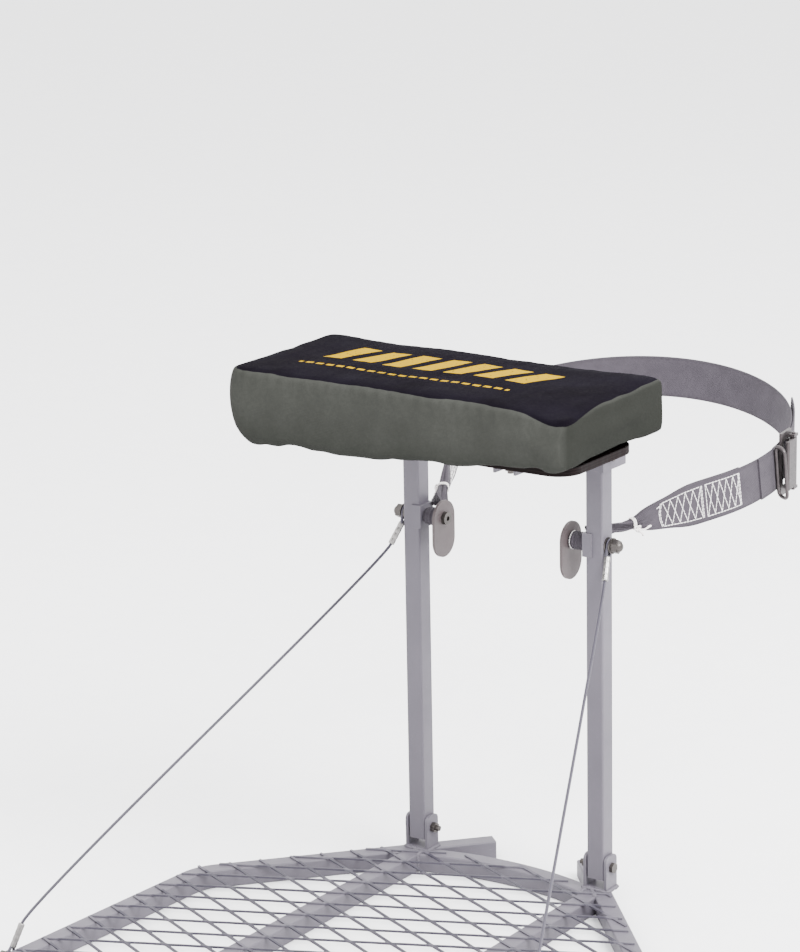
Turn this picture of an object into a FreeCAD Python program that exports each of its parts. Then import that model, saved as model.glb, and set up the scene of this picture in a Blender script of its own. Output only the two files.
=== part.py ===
import FreeCAD, Part
import math
import os
import re
import Sketcher
from FreeCAD import Placement, Rotation, Vector

# Fixed-position tree stand, millimetres. +Z is up, +Y points at the trunk, -X is the left side.
# The origin is midway between the rear corners of the two horns, where the stand bites the
# trunk, at the height of the platform's top face.

SIZES = (
    ("tube", 20, "outside of every square tube"),
    ("wall", 1.5, "wall of every square tube"),
    ("corner", 2, "outer corner radius of a tube"),
    ("post_x", 112, "post axis from the middle"),
    ("post_foot", 12, "foot of a post above the platform"),
    ("post_top", 480, "top of a post"),
    ("pivot_height", 24.5, "platform pivot bolts"),
    ("strap_height", 372, "strap and cable bolts"),
    ("seat_pivot", 468, "seat pivot bolts"),
    ("half_width", 299, "half of the platform's width at the cable anchors"),
    ("splay", 3, "each side rail opens toward the front, degrees"),
    ("front_reach", 690, "post axis to the platform's front edge"),
    ("arm_angle", 48, "rear arm from the X axis, degrees"),
    ("horn_reach", 80, "rear arm beyond the post axis"),
    ("bend", 50, "centre-line radius of a side rail's bend"),
    ("crossbar_back", 4, "middle of the bowed rear crossbar behind the post axis"),
    ("crossbar_bow", 17, "rear crossbar's middle behind its ends"),
    ("plate", 3, "thickness of brackets and keeper plates"),
    ("clevis_wide", 28, "clevis outside width"),
    ("clevis_deep", 21, "clevis depth"),
    ("clevis_high", 38, "clevis height"),
    ("small_bolt", 6, "pivot and board bolts"),
    ("big_bolt", 8, "strap, anchor and seat bolts"),
    ("washer_across", 16.8, "washer diameter"),
    ("big_hex", 13, "across the flats of the big bolts' heads and nuts"),
    ("small_hex", 10, "across the flats of the small bolts' heads and nuts"),
    ("fit", 0.05, "radial clearance of a bolt in its hole"),
    ("mesh_long", 76.2, "long way of a mesh diamond"),
    ("mesh_short", 34.92, "short way of a mesh diamond"),
    ("mesh_strand", 3.2, "width of a mesh strand"),
    ("mesh_thick", 3, "thickness of the mesh"),
    ("mesh_inset", 4, "mesh edge inside the frame's outline"),
    ("mesh_rim", 3, "solid edge left round the mesh"),
    ("keeper_wide", 38, "keeper plate width"),
    ("keeper_high", 61, "keeper plate height"),
    ("eye_wide", 18.4, "gathered strap eye along its bolt"),
    ("bushing", 12, "sleeve inside a strap eye"),
    ("strap_wide", 46, "webbing width"),
    ("strap_thick", 2, "webbing thickness"),
    ("trunk", 360, "trunk diameter that the strap is drawn round"),
    ("rise_back", 0.16, "climb of the strap toward the back, per mm"),
    ("rise_left", 0.05, "climb of the strap toward the left, per mm"),
    ("buckle_angle", 8, "buckle place round the trunk, degrees"),
    ("cable", 3.2, "wire rope diameter"),
    ("ferrule", 6, "crimped ferrule diameter"),
    ("ferrule_long", 26, "crimped ferrule length"),
    ("loop", 6.4, "centre-line radius of a cable loop"),
    ("anchor_front", 458, "cable anchor in front of the post axis"),
    ("bracket_wide", 26, "seat bracket outside width"),
    ("bracket_sheet", 2.5, "seat bracket sheet"),
    ("board_wide", 386, "seat board width"),
    ("board_deep", 132, "seat board depth"),
    ("board_thick", 8, "seat board thickness"),
    ("board_round", 25, "seat board corner radius"),
    ("board_back", 58, "board's rear edge in front of the post axis"),
    ("board_bottom", 494, "underside of the seat board"),
    ("cushion_wide", 408, "cushion width"),
    ("cushion_deep", 186, "cushion depth"),
    ("cushion_thick", 57.5, "cushion thickness"),
    ("cushion_round", 14, "cushion edge radius"),
    ("cushion_back", 22, "cushion's rear face in front of the post axis"),
)

doc = FreeCAD.newDocument("tree_stand")
sheet = doc.addObject("Spreadsheet::Sheet", "Sizes")
for row, (alias, amount, meaning) in enumerate(SIZES, start=1):
    sheet.set(f"A{row}", meaning)
    sheet.set(f"B{row}", str(amount))
    sheet.setAlias(f"B{row}", alias)
doc.recompute()

kept = []


def size(alias):
    return float(sheet.get(alias))


def formula(text):
    """The same sum, with each sheet name written the way an expression needs it."""
    return re.sub(r"[a-z_]+", lambda name: "Sizes." + name.group(), text)


def bind(item, prop, amount):
    """Bind a size to the sheet when it is a sum in words, or set it when it is a number."""
    if isinstance(amount, str):
        item.setExpression(prop, formula(amount))
    else:
        setattr(item, prop, amount)


TUBE = size("tube")
POST_X = size("post_x")
ARM_ANGLE = math.radians(size("arm_angle"))
POST_Y = -(size("horn_reach") * math.sin(ARM_ANGLE) + TUBE / 2 * math.cos(ARM_ANGLE))
RAIL_X = size("half_width") - TUBE / 2
POST_FACE = POST_X + TUBE / 2
SPLAY = math.radians(size("splay"))
WASHER = 1.6
NUT_GRIP = 7
CENTRE = Vector(0, 0, 0)
OUTWARD = Vector(1, 0, 0)
UPWARD = Vector(0, 0, 1)


def at(x, behind_post, z):
    """A point given by its distance behind the post axis."""
    return Vector(x, POST_Y + behind_post, z)


# ---------- building blocks ----------

def box(name, length, width, height, centre, turn=0):
    """A box centred on a point and turned about Z, in degrees."""
    item = doc.addObject("Part::Box", name)
    bind(item, "Length", length)
    bind(item, "Width", width)
    bind(item, "Height", height)
    item.recompute()
    rotation = Rotation(UPWARD, turn)
    half = Vector(item.Length.Value / 2, item.Width.Value / 2, item.Height.Value / 2)
    item.Placement = Placement(centre - rotation.multVec(half), rotation)
    return item


def rod(name, radius, length, start, direction=OUTWARD):
    item = doc.addObject("Part::Cylinder", name)
    bind(item, "Radius", radius)
    bind(item, "Height", length)
    item.Placement = Placement(start, Rotation(UPWARD, direction))
    return item


def hexagon(name, across, length, start, direction=OUTWARD):
    """A hexagonal bar, given its size across the flats."""
    flats = size(across) if isinstance(across, str) else across
    item = doc.addObject("Part::Prism", name)
    item.Polygon = 6
    item.Circumradius = flats / math.sqrt(3)
    bind(item, "Height", length)
    item.Placement = Placement(start, Rotation(UPWARD, direction))
    return item


def fuse(name, *items):
    item = doc.addObject("Part::MultiFuse", name)
    item.Shapes = list(items)
    return item


def cut(name, base, *tools):
    item = doc.addObject("Part::Cut", name)
    item.Base = base
    item.Tool = tools[0] if len(tools) == 1 else fuse(name + "_tools", *tools)
    return item


def group(name, *items):
    item = doc.addObject("Part::Compound", name)
    item.Links = list(items)
    return item


def mirror(name, source):
    """The same piece on the left side."""
    item = doc.addObject("Part::Mirroring", name)
    item.Source = source
    item.Base = CENTRE
    item.Normal = OUTWARD
    return item


def solid(name, shape):
    item = doc.addObject("Part::Feature", name)
    item.Shape = shape
    item.Placement = Placement()
    return item


def keep(label, item):
    item.Label = label
    kept.append(item)
    return item


def keep_pair(label, item):
    """A right piece and its mirror image as two nodes."""
    keep(label + "_right", item)
    keep(label + "_left", mirror(label + "_mirror", item))


def keep_both(label, item):
    """A right piece and its mirror image as one node of two solids."""
    keep(label, group(label + "_set", item, mirror(label + "_mirror", item)))


def round_long_edges(name, item, radius):
    """Round the edges that run along a box's longest side."""
    doc.recompute()
    longest = max(edge.Length for edge in item.Shape.Edges)
    numbers = [n for n, edge in enumerate(item.Shape.Edges, 1) if abs(edge.Length - longest) < 1e-6]
    rounded = doc.addObject("Part::Fillet", name)
    rounded.Base = item
    rounded.Edges = [(number, radius, radius) for number in numbers]
    return rounded


def square_tube(name, length, centre, turn=0, upright=False):
    """The outer bar of a square tube and the bar that hollows it."""
    across = ("tube", "tube", length) if upright else (length, "tube", "tube")
    inside = "tube - 2 * wall"
    hollow = (inside, inside, length) if upright else (length, inside, inside)
    outer = round_long_edges(name + "_outer", box(name + "_bar", *across, centre, turn), size("corner"))
    inner = box(name + "_inner", *hollow, centre, turn)
    return outer, inner


def new_body(label):
    return doc.addObject("PartDesign::Body", label + "_body")


def new_sketch(body, role, name):
    item = body.newObject("Sketcher::SketchObject", name)
    plane = [feature for feature in body.Origin.OriginFeatures if feature.Role == role][0]
    item.AttachmentSupport = (plane, [""])
    item.MapMode = "FlatFace"
    return item


def add_polygon(drawing, points):
    count = len(points)
    for index, (x, y) in enumerate(points):
        following = points[(index + 1) % count]
        drawing.addGeometry(Part.LineSegment(Vector(x, y, 0), Vector(*following, 0)))
    for index in range(count):
        drawing.addConstraint(Sketcher.Constraint("Coincident", index, 2, (index + 1) % count, 1))


def add_rectangle(drawing, width, height):
    """A rectangle about the sketch's origin, with its sides bound to the sheet."""
    corners = ((-10, -10), (10, -10), (10, 10), (-10, 10))
    add_polygon(drawing, corners)
    for index in (0, 2):
        drawing.addConstraint(Sketcher.Constraint("Horizontal", index))
        drawing.addConstraint(Sketcher.Constraint("Vertical", index + 1))
    drawing.addConstraint(Sketcher.Constraint("Symmetric", 0, 1, 1, 2, -1, 1))
    across = drawing.addConstraint(Sketcher.Constraint("DistanceX", 0, 1, 0, 2, 20))
    along = drawing.addConstraint(Sketcher.Constraint("DistanceY", 1, 1, 1, 2, 20))
    drawing.setExpression(f"Constraints[{across}]", formula(width))
    drawing.setExpression(f"Constraints[{along}]", formula(height))


def add_circle(drawing, x, y, radius):
    number = drawing.addGeometry(Part.Circle(Vector(x, y, 0), UPWARD, 1))
    held = drawing.addConstraint(Sketcher.Constraint("Radius", number, 1))
    drawing.setExpression(f"Constraints[{held}]", formula(radius))


def pad(body, drawing, name, length, midplane=False):
    item = body.newObject("PartDesign::Pad", name)
    item.Profile = (drawing, [""])
    bind(item, "Length", length)
    if midplane:
        item.SideType = "Symmetric"
    doc.recompute()
    return item


def pocket(body, drawing, name):
    """A hole right through the body, both ways from its sketch."""
    before = body.Shape.Volume
    item = body.newObject("PartDesign::Pocket", name)
    item.Profile = (drawing, [""])
    item.Length = 200
    item.SideType = "Symmetric"
    doc.recompute()
    if body.Shape.Volume >= before - 1e-3:
        raise ValueError(name + " removed nothing")
    return item


def round_edges(body, name, numbers, radius):
    """Fillet the numbered edges of a body as it stands."""
    base = body.Tip
    item = body.newObject("PartDesign::Fillet", name)
    item.Base = (base, [f"Edge{number}" for number in numbers])
    bind(item, "Radius", radius)
    doc.recompute()


def bolt_along_x(name, bolt, face, tip, place, head, head_long):
    """A hex bolt whose head bears on a face from the outside and whose tip lies further in."""
    shank = rod(name + "_shank", f"{bolt} / 2", face - tip, Vector(tip, place.y, place.z))
    cap = hexagon(name + "_head", head, head_long, Vector(face, place.y, place.z))
    return fuse(name, shank, cap)


# ---------- uprights ----------

def make_posts():
    middle = (size("post_foot") + size("post_top")) / 2
    outer, inner = square_tube("post", "post_top - post_foot", at(POST_X, 0, middle), upright=True)
    holes = []
    heights = (("pivot_height", "small_bolt"), ("strap_height", "big_bolt"), ("seat_pivot", "big_bolt"))
    for height, bolt in heights:
        start = at(POST_X - TUBE, 0, size(height))
        holes.append(rod("post_hole", f"{bolt} / 2 + fit", "tube * 2", start))
    keep_pair("post", cut("post_drilled", outer, inner, *holes))


def make_saddles():
    """A plate on the inner face of each post with lips over the post's front and back."""
    plate = size("plate")
    height = 25
    lip_long = 8
    lip_thick = 1.9
    gap = 0.1
    inner_face = POST_X - TUBE / 2
    level = size("strap_height")
    deep = TUBE + 2 * (gap + lip_thick)
    web = box("saddle_web", "plate", deep, height, at(inner_face - plate / 2, 0, level))
    lips = []
    for way in (-1, 1):
        centre = at(inner_face + lip_long / 2, way * (TUBE / 2 + gap + lip_thick / 2), level)
        lips.append(box("saddle_lip", lip_long, lip_thick, height, centre))
    blank = fuse("saddle_blank", web, *lips)
    hole = rod("saddle_hole", "big_bolt / 2 + fit", 3 * plate, at(inner_face - 2 * plate, 0, level))
    keep_both("post_saddles", cut("saddle", blank, hole))


EYE_START = POST_FACE - TUBE - size("plate") - 0.5 - size("eye_wide")
KEEPER_X = EYE_START - 0.5 - size("plate")


def make_keeper_plates():
    """Obround plates in the YZ plane, each hung from its bolt."""
    body = new_body("keeper_plate")
    drawing = new_sketch(body, "YZ_Plane", "keeper_outline")
    radius = size("keeper_wide") / 2
    run = size("keeper_high") - 2 * radius
    drawing.addGeometry(Part.LineSegment(Vector(radius, 0, 0), Vector(radius, -run, 0)))
    drawing.addGeometry(Part.LineSegment(Vector(-radius, 0, 0), Vector(-radius, -run, 0)))
    top = Part.Arc(Vector(radius, 0, 0), Vector(0, radius, 0), Vector(-radius, 0, 0))
    foot = Part.Arc(Vector(radius, -run, 0), Vector(0, -run - radius, 0), Vector(-radius, -run, 0))
    drawing.addGeometry(top)
    drawing.addGeometry(foot)
    add_circle(drawing, 0, 0, "big_bolt / 2 + fit")
    pad(body, drawing, "keeper_pad", "plate")
    body.Placement = Placement(at(KEEPER_X, 0, size("strap_height")), Rotation())
    keep_both("keeper_plates", body)


def washer(name, x, place):
    disc = rod(name + "_disc", "washer_across / 2", WASHER, Vector(x, place.y, place.z))
    hole = rod(name + "_hole", "big_bolt / 2 + fit", WASHER * 3, Vector(x - WASHER, place.y, place.z))
    return cut(name, disc, hole)


def dome_nut(name, x, place):
    """A cap nut whose dome points outward."""
    hexagon_long = 6.5
    dome_radius = 6
    body = hexagon(name + "_body", "big_hex", hexagon_long, Vector(x, place.y, place.z))
    dome = doc.addObject("Part::Sphere", name + "_dome")
    dome.Radius = dome_radius
    dome.Placement = Placement(Vector(x + hexagon_long - 1.5, place.y, place.z), Rotation())
    below = 2
    bore = rod(name + "_bore", "big_bolt / 2 + fit", below + 8, Vector(x - below, place.y, place.z))
    return cut(name, fuse(name + "_blank", body, dome), bore)


def hex_nut(name, x, place, bolt, across, thick):
    body = hexagon(name + "_body", across, thick, Vector(x, place.y, place.z))
    bore = rod(name + "_bore", f"{bolt} / 2 + fit", thick * 3, Vector(x - thick, place.y, place.z))
    return cut(name, body, bore)


def button_bolt(name, first, last, place):
    """A round-headed socket bolt from its head at the first X to its tip at the last."""
    head_long = 4.4
    shank = rod(name + "_shank", "big_bolt / 2", last - first, Vector(first, place.y, place.z))
    head = rod(name + "_head", "big_bolt * 0.85", head_long, Vector(first - head_long, place.y, place.z))
    socket = hexagon(name + "_socket", 5, 2.5, Vector(first - head_long - 0.1, place.y, place.z))
    return cut(name, fuse(name + "_blank", shank, head), socket)


def cable_stack(face):
    """X of the cable loop and of the outer washer on a bolt that leaves a face."""
    gap = 0.2
    loop_x = face + WASHER + gap + size("cable") / 2
    washer_x = loop_x + size("cable") / 2 + gap
    return loop_x, washer_x


def make_upper_bolts():
    place = at(0, 0, size("strap_height"))
    loop_x, washer_x = cable_stack(POST_FACE)
    nut_x = washer_x + WASHER
    keep_both("upper_bolts", button_bolt("upper_bolt", KEEPER_X, nut_x + NUT_GRIP, place))
    inner = washer("upper_inner_washer", POST_FACE, place)
    outer = washer("upper_outer_washer", washer_x, place)
    pair = group("upper_washer_pair", inner, outer)
    keep_both("upper_washers", pair)
    keep_both("upper_dome_nuts", dome_nut("upper_dome_nut", nut_x, place))
    sleeve_start = Vector(EYE_START - 0.4, place.y, place.z)
    sleeve = rod("bushing_bar", "bushing / 2", "eye_wide + 0.8", sleeve_start)
    bore = rod("bushing_bore", "big_bolt / 2 + fit", "eye_wide + 4", sleeve_start - OUTWARD * 2)
    keep_both("strap_bushings", cut("bushing_piece", sleeve, bore))


# ---------- tree strap ----------

EYE_X = EYE_START + size("eye_wide") / 2
HORN_X = POST_X - size("horn_reach") * math.cos(ARM_ANGLE) + TUBE / 2 * math.sin(ARM_ANGLE)
STRAP_R = size("trunk") / 2
TRUNK_Y = math.sqrt(STRAP_R ** 2 - HORN_X ** 2)
RISE_BACK = size("rise_back")
RISE_LEFT = size("rise_left")


def strap_level(x, y):
    """Height of the strap's middle line, which climbs toward the back and the left."""
    return size("strap_height") + RISE_BACK * (y - POST_Y) + RISE_LEFT * (EYE_X - x)


def tangent_touch():
    """The way the right lead runs from its bolt, and how far, to meet the trunk."""
    reach = TRUNK_Y - POST_Y
    middle = STRAP_R + size("strap_thick") / 2
    away = math.hypot(EYE_X, reach)
    heading = math.atan2(reach, -EYE_X) - math.asin(middle / away)
    return heading, math.sqrt(away ** 2 - middle ** 2)


HEADING, LEAD_RUN = tangent_touch()


def lead_frame(side):
    """Start, unit run, unit sideways and length of the lead on one side."""
    start = at(side * EYE_X, 0, size("strap_height"))
    flat = Vector(side * math.cos(HEADING), math.sin(HEADING), 0)
    finish = start + flat * LEAD_RUN
    finish.z = strap_level(finish.x, finish.y)
    run = finish - start
    length = run.Length
    run.normalize()
    across = run.cross(UPWARD)
    across.normalize()
    return start, run, across, length


def section(centre, run, across, thick, high):
    """A rectangle across the lead, thick sideways and high upright."""
    up = across.cross(run)
    side, rise = across * (thick / 2), up * (high / 2)
    corners = [centre - side - rise, centre + side - rise, centre + side + rise, centre - side + rise]
    return Part.makePolygon(corners + corners[:1])


NECK_LONG = 68
FLARE_LONG = 134
NECK_SIDE = 9.5
NECK_ROOT = 12.4


def make_strap_eye(label, side):
    start, run, across, _ = lead_frame(side)
    eye_radius = 9.4
    eye_wide = size("eye_wide")
    inner = Vector(side * EYE_X - eye_wide / 2, start.y, start.z)
    ring = Part.makeCylinder(eye_radius, eye_wide, inner, OUTWARD)
    bore_radius = size("bushing") / 2 + size("fit")
    bore = Part.makeCylinder(bore_radius, 2 * eye_wide, inner - OUTWARD * (eye_wide / 2), OUTWARD)
    root = Vector(side * (EYE_START + NECK_ROOT / 2), start.y + 2, start.z)
    first = section(root, Vector(0, 1, 0), OUTWARD, NECK_ROOT, 1.8 * eye_radius)
    last = section(start + run * NECK_LONG, run, across, NECK_SIDE, NECK_SIDE)
    neck = Part.makeLoft([first, last], True, True)
    keep(label, solid(label + "_webbing", ring.fuse(neck).cut(bore).removeSplitter()))


def lead_solid(side):
    """Webbing from the tied neck, widening to its full width, to the trunk."""
    start, run, across, length = lead_frame(side)
    thin = 2 * size("strap_thick")
    wide = size("strap_wide")
    stations = (
        (NECK_LONG + 0.2, NECK_SIDE, NECK_SIDE),
        (NECK_LONG + 14, 0.7 * NECK_SIDE, 0.52 * wide),
        (NECK_LONG + 42, 0.5 * NECK_SIDE, 0.8 * wide),
        (FLARE_LONG, thin, wide),
    )
    wires = [section(start + run * place, run, across, thick, high)
             for place, thick, high in stations]
    flare = Part.makeLoft(wires, True, True)
    spare = 20
    ends = [section(start + run * place, run, across, thin, wide) for place in (FLARE_LONG, length + spare)]
    lead = flare.fuse(Part.makeLoft(ends, True, True))
    beyond = Part.makeBox(2 * wide, 2 * wide, 4 * wide, Vector(0, -wide, -2 * wide))
    flat = Vector(run.x, run.y, 0)
    beyond.Placement = Placement(start + run * length, Rotation(OUTWARD, flat)) * beyond.Placement
    return lead.cut(beyond).removeSplitter()


def strap_arc(first_angle, last_angle, inner_radius, thick):
    """A stretch of webbing round the trunk between two angles, level with the leads."""
    high = 300
    middle = Vector(0, TRUNK_Y, strap_level(0, TRUNK_Y))
    foot = middle - UPWARD * (high / 2)
    outer = Part.makeCylinder(inner_radius + thick, high, foot, UPWARD, last_angle - first_angle)
    inner = Part.makeCylinder(inner_radius, high, foot, UPWARD)
    ring = outer.cut(inner)
    ring.rotate(middle, UPWARD, first_angle)
    lean = Vector(RISE_LEFT, -RISE_BACK, 1)
    slab_thick = size("strap_wide") / lean.Length
    reach = 2 * size("trunk")
    slab = Part.makeBox(reach, reach, slab_thick, Vector(-reach / 2, -reach / 2, -slab_thick / 2))
    slab.Placement = Placement(middle, Rotation(UPWARD, lean)) * slab.Placement
    return ring.common(slab)


TOUCH_ANGLE = math.degrees(HEADING) - 90
BUCKLE_SWEEP = 5.5
TAIL_SWEEP = 38


def make_strap():
    make_strap_eye("strap_eye_right", 1)
    make_strap_eye("strap_eye_left", -1)
    buckle = size("buckle_angle")
    thick = size("strap_thick")
    keep("strap_lead_left", solid("strap_lead_left_webbing", lead_solid(-1)))
    two_ply = strap_arc(TOUCH_ANGLE, buckle - BUCKLE_SWEEP, STRAP_R - thick / 2, 2 * thick)
    right = lead_solid(1).fuse(two_ply).removeSplitter()
    keep("strap_lead_right", solid("strap_lead_right_webbing", right))
    band = strap_arc(buckle - BUCKLE_SWEEP + 0.4, 180 - TOUCH_ANGLE - 0.2, STRAP_R, thick)
    keep("strap_band", solid("strap_band_webbing", band))
    tail = strap_arc(buckle + BUCKLE_SWEEP + 0.8, buckle + TAIL_SWEEP, STRAP_R + thick + 0.4, thick)
    keep("strap_tail", solid("strap_tail_webbing", tail))


def make_tie_cords():
    ties = []
    cord_radius = 1.2
    for side in (1, -1):
        start, run, _, _ = lead_frame(side)
        ring = doc.addObject("Part::Torus", "tie_ring")
        ring.Radius1 = NECK_SIDE / math.sqrt(2) + cord_radius + 0.3
        ring.Radius2 = cord_radius
        ring.Placement = Placement(start + run * (NECK_LONG - 1), Rotation(UPWARD, run))
        ties.append(ring)
    keep("tie_cords", group("tie_cord_set", *ties))


def buckle_point(along, out, up):
    """A point given along the strap, out from it and up, from the middle of the buckle."""
    angle = math.radians(size("buckle_angle"))
    outward = Vector(math.cos(angle), math.sin(angle), 0)
    onward = Vector(-math.sin(angle), math.cos(angle), 0)
    base = Vector(0, TRUNK_Y, 0) + outward * STRAP_R
    level = strap_level(base.x, base.y)
    return base + outward * out + onward * along + Vector(0, 0, level + up)


BUCKLE_TURN = size("buckle_angle")
BUCKLE_OUT = 6.2
BUCKLE_HIGH = size("strap_wide") + 22
PIN_OUT = 12.5
PIN_ALONG = 8
PIN_RADIUS = 2
LUG_THICK = 3
LUG_UP = BUCKLE_HIGH / 2 - LUG_THICK / 2 - 4


def buckle_box(name, out, along, up, place):
    return box(name, out, along, up, buckle_point(*place), BUCKLE_TURN)


def make_buckle():
    """A flat steel frame on the webbing, with a cam lever on an upright pin."""
    plate = buckle_box("buckle_plate", 3, 30, BUCKLE_HIGH, (0, BUCKLE_OUT, 0))
    window = buckle_box("buckle_window", 9, 18, size("strap_wide") + 3, (0, BUCKLE_OUT, 0))
    lugs = []
    for way in (-1, 1):
        place = (PIN_ALONG, BUCKLE_OUT + 4.5, way * LUG_UP)
        lugs.append(buckle_box("buckle_lug", 10, 11, LUG_THICK, place))
    pin_high = 2 * (LUG_UP + LUG_THICK)
    pin_start = buckle_point(PIN_ALONG, PIN_OUT, -pin_high / 2)
    hole = rod("buckle_hole", PIN_RADIUS + size("fit"), pin_high, pin_start, UPWARD)
    keep("buckle_frame", cut("buckle_frame_piece", fuse("buckle_blank", plate, *lugs), window, hole))
    keep("buckle_pin", rod("buckle_pin_bar", PIN_RADIUS, pin_high, pin_start, UPWARD))
    make_lever()


def make_lever():
    """A cam on the buckle's pin, its thumb plate and the plate's curled edge."""
    high = 2 * LUG_UP - LUG_THICK - 1
    reach = 24
    thumb_out = PIN_OUT + 2.7
    cam = rod("buckle_cam", 3.8, high, buckle_point(PIN_ALONG, PIN_OUT, -high / 2), UPWARD)
    thumb = buckle_box("buckle_thumb", 2.2, reach, high, (PIN_ALONG - reach / 2, thumb_out, 0))
    curl = rod("buckle_curl", 2.4, high, buckle_point(PIN_ALONG - reach, thumb_out, -high / 2), UPWARD)
    bore = rod("buckle_bore", PIN_RADIUS + size("fit"), 2 * high,
               buckle_point(PIN_ALONG, PIN_OUT, -high), UPWARD)
    blank = fuse("buckle_lever_blank", cam, thumb, curl)
    keep("buckle_lever", cut("buckle_lever_piece", blank, bore))


# ---------- platform ----------

ANCHOR_BEHIND = -size("anchor_front")
RAIL_WAY = Vector(math.sin(SPLAY), -math.cos(SPLAY), 0)
TUBE_Z = -TUBE / 2
ANCHOR = at(RAIL_X, ANCHOR_BEHIND, TUBE_Z)
ANCHOR_WAY = Vector(math.cos(SPLAY), math.sin(SPLAY), 0)
CROSSBAR_END = POST_X - TUBE / 2


def rail_x(behind):
    """X of a side rail's axis at a distance behind the post axis."""
    return RAIL_X - (behind - ANCHOR_BEHIND) * math.tan(SPLAY)


def rail_corner():
    """Where the axes of a side rail and its rear arm cross."""
    spread = rail_x(0) - POST_X
    along_arm = spread / (math.cos(ARM_ANGLE) - math.sin(ARM_ANGLE) * math.tan(SPLAY))
    return POST_X + along_arm * math.cos(ARM_ANGLE), -along_arm * math.sin(ARM_ANGLE)


def rounded_square(centre, way, across, corner):
    """A square wire with rounded corners about a level run."""
    side = way.cross(UPWARD)
    side.normalize()
    half, inner = across / 2, across / 2 - corner
    diagonal = inner + corner * math.sqrt(0.5)
    places = []
    for sx, sz in ((1, 1), (-1, 1), (-1, -1), (1, -1)):
        before, after = (sx * half, sz * inner), (sx * inner, sz * half)
        if sx != sz:
            before, after = after, before
        places.append((before, (sx * diagonal, sz * diagonal), after))
    edges = []
    for index, corner_places in enumerate(places):
        first, middle, last = [centre + side * x + UPWARD * z for x, z in corner_places]
        edges.append(Part.Arc(first, middle, last).toShape())
        start_x, start_z = places[(index + 1) % 4][0]
        edges.append(Part.LineSegment(last, centre + side * start_x + UPWARD * start_z).toShape())
    return Part.Wire(edges)


def rounded_path(points, radius=None):
    """Straight runs joined by arcs, of a given radius or as large as the shorter run allows."""
    edges = []
    last = points[0]
    for before, corner, after in zip(points, points[1:], points[2:]):
        into, onward = corner - before, after - corner
        shorter = min(into.Length, onward.Length)
        into.normalize()
        onward.normalize()
        turn = into.getAngle(onward)
        trim = radius * math.tan(turn / 2) if radius else 0.45 * shorter
        bend = trim / math.tan(turn / 2)
        print(f"bend radius {bend:.1f} mm")
        first, final = corner - into * trim, corner + onward * trim
        inward = onward - into
        inward.normalize()
        middle = corner + inward * (bend / math.cos(turn / 2) - bend)
        edges.append(Part.LineSegment(last, first).toShape())
        edges.append(Part.Arc(first, middle, final).toShape())
        last = final
    edges.append(Part.LineSegment(last, points[-1]).toShape())
    return Part.Wire(edges)


def make_side_rails():
    """One bent tube a side: the horn at the trunk, the rear arm, a bend and the side rail."""
    corner_x, corner_behind = rail_corner()
    horn_way = Vector(-math.cos(ARM_ANGLE), math.sin(ARM_ANGLE), 0)
    horn = at(POST_X, 0, TUBE_Z) + horn_way * size("horn_reach")
    front_behind = -size("front_reach")
    front = at(rail_x(front_behind), front_behind, TUBE_Z)
    path = rounded_path([horn, at(corner_x, corner_behind, TUBE_Z), front], size("bend"))
    wall = size("wall")
    outline = rounded_square(horn, horn_way, TUBE, size("corner"))
    hollow = rounded_square(horn, horn_way, TUBE - 2 * wall, size("corner") - wall)
    outer = solid("side_rail_outer", path.makePipeShell([outline], True, False))
    inner = solid("side_rail_inner", path.makePipeShell([hollow], True, False))
    hole_start = ANCHOR - ANCHOR_WAY * TUBE
    anchor_hole = rod("anchor_hole", "big_bolt / 2 + fit", "tube * 2", hole_start, ANCHOR_WAY)
    keep_pair("side_rail", cut("side_rail_piece", outer, inner, anchor_hole))
    return outer


def make_cross_members(rail_outer):
    other_rail = mirror("side_rail_outer_mirror", rail_outer)
    front_behind = -size("front_reach") + TUBE / 2
    outer, inner = square_tube("front_rail", 2 * rail_x(front_behind), at(0, front_behind, TUBE_Z))
    keep("front_rail", cut("front_rail_piece", outer, inner, rail_outer, other_rail))
    support_long = size("front_reach") - TUBE
    centre = at(POST_X, -support_long / 2, TUBE_Z)
    outer, inner = square_tube("inner_support", support_long, centre, 90)
    keep_pair("inner_support", cut("inner_support_piece", outer, inner, rail_outer))
    make_crossbar(rail_outer, other_rail)


def crossbar_behind(x):
    """How far the bowed crossbar's axis lies behind the post axis at an X."""
    return size("crossbar_back") - size("crossbar_bow") * (x / CROSSBAR_END) ** 2


def make_crossbar(*arms):
    """A bowed tube welded between the inner supports and cut to fit beside the rear arms."""
    tips = [at(side * POST_X, crossbar_behind(POST_X), TUBE_Z) for side in (-1, 1)]
    arc = Part.Arc(tips[0], at(0, crossbar_behind(0), TUBE_Z), tips[1])
    path = Part.Wire([arc.toShape()])
    way = arc.tangent(arc.FirstParameter)[0]
    wall = size("wall")
    outline = rounded_square(tips[0], way, TUBE, size("corner"))
    hollow = rounded_square(tips[0], way, TUBE - 2 * wall, size("corner") - wall)
    outer = solid("rear_crossbar_outer", path.makePipeShell([outline], True, False))
    inner = solid("rear_crossbar_inner", path.makePipeShell([hollow], True, False))
    trim = box("crossbar_trim", TUBE, 4 * TUBE, 2 * TUBE, at(POST_X, 0, TUBE_Z))
    other_trim = mirror("crossbar_trim_mirror", trim)
    keep("rear_crossbar", cut("rear_crossbar_piece", outer, inner, trim, other_trim, *arms))


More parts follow.
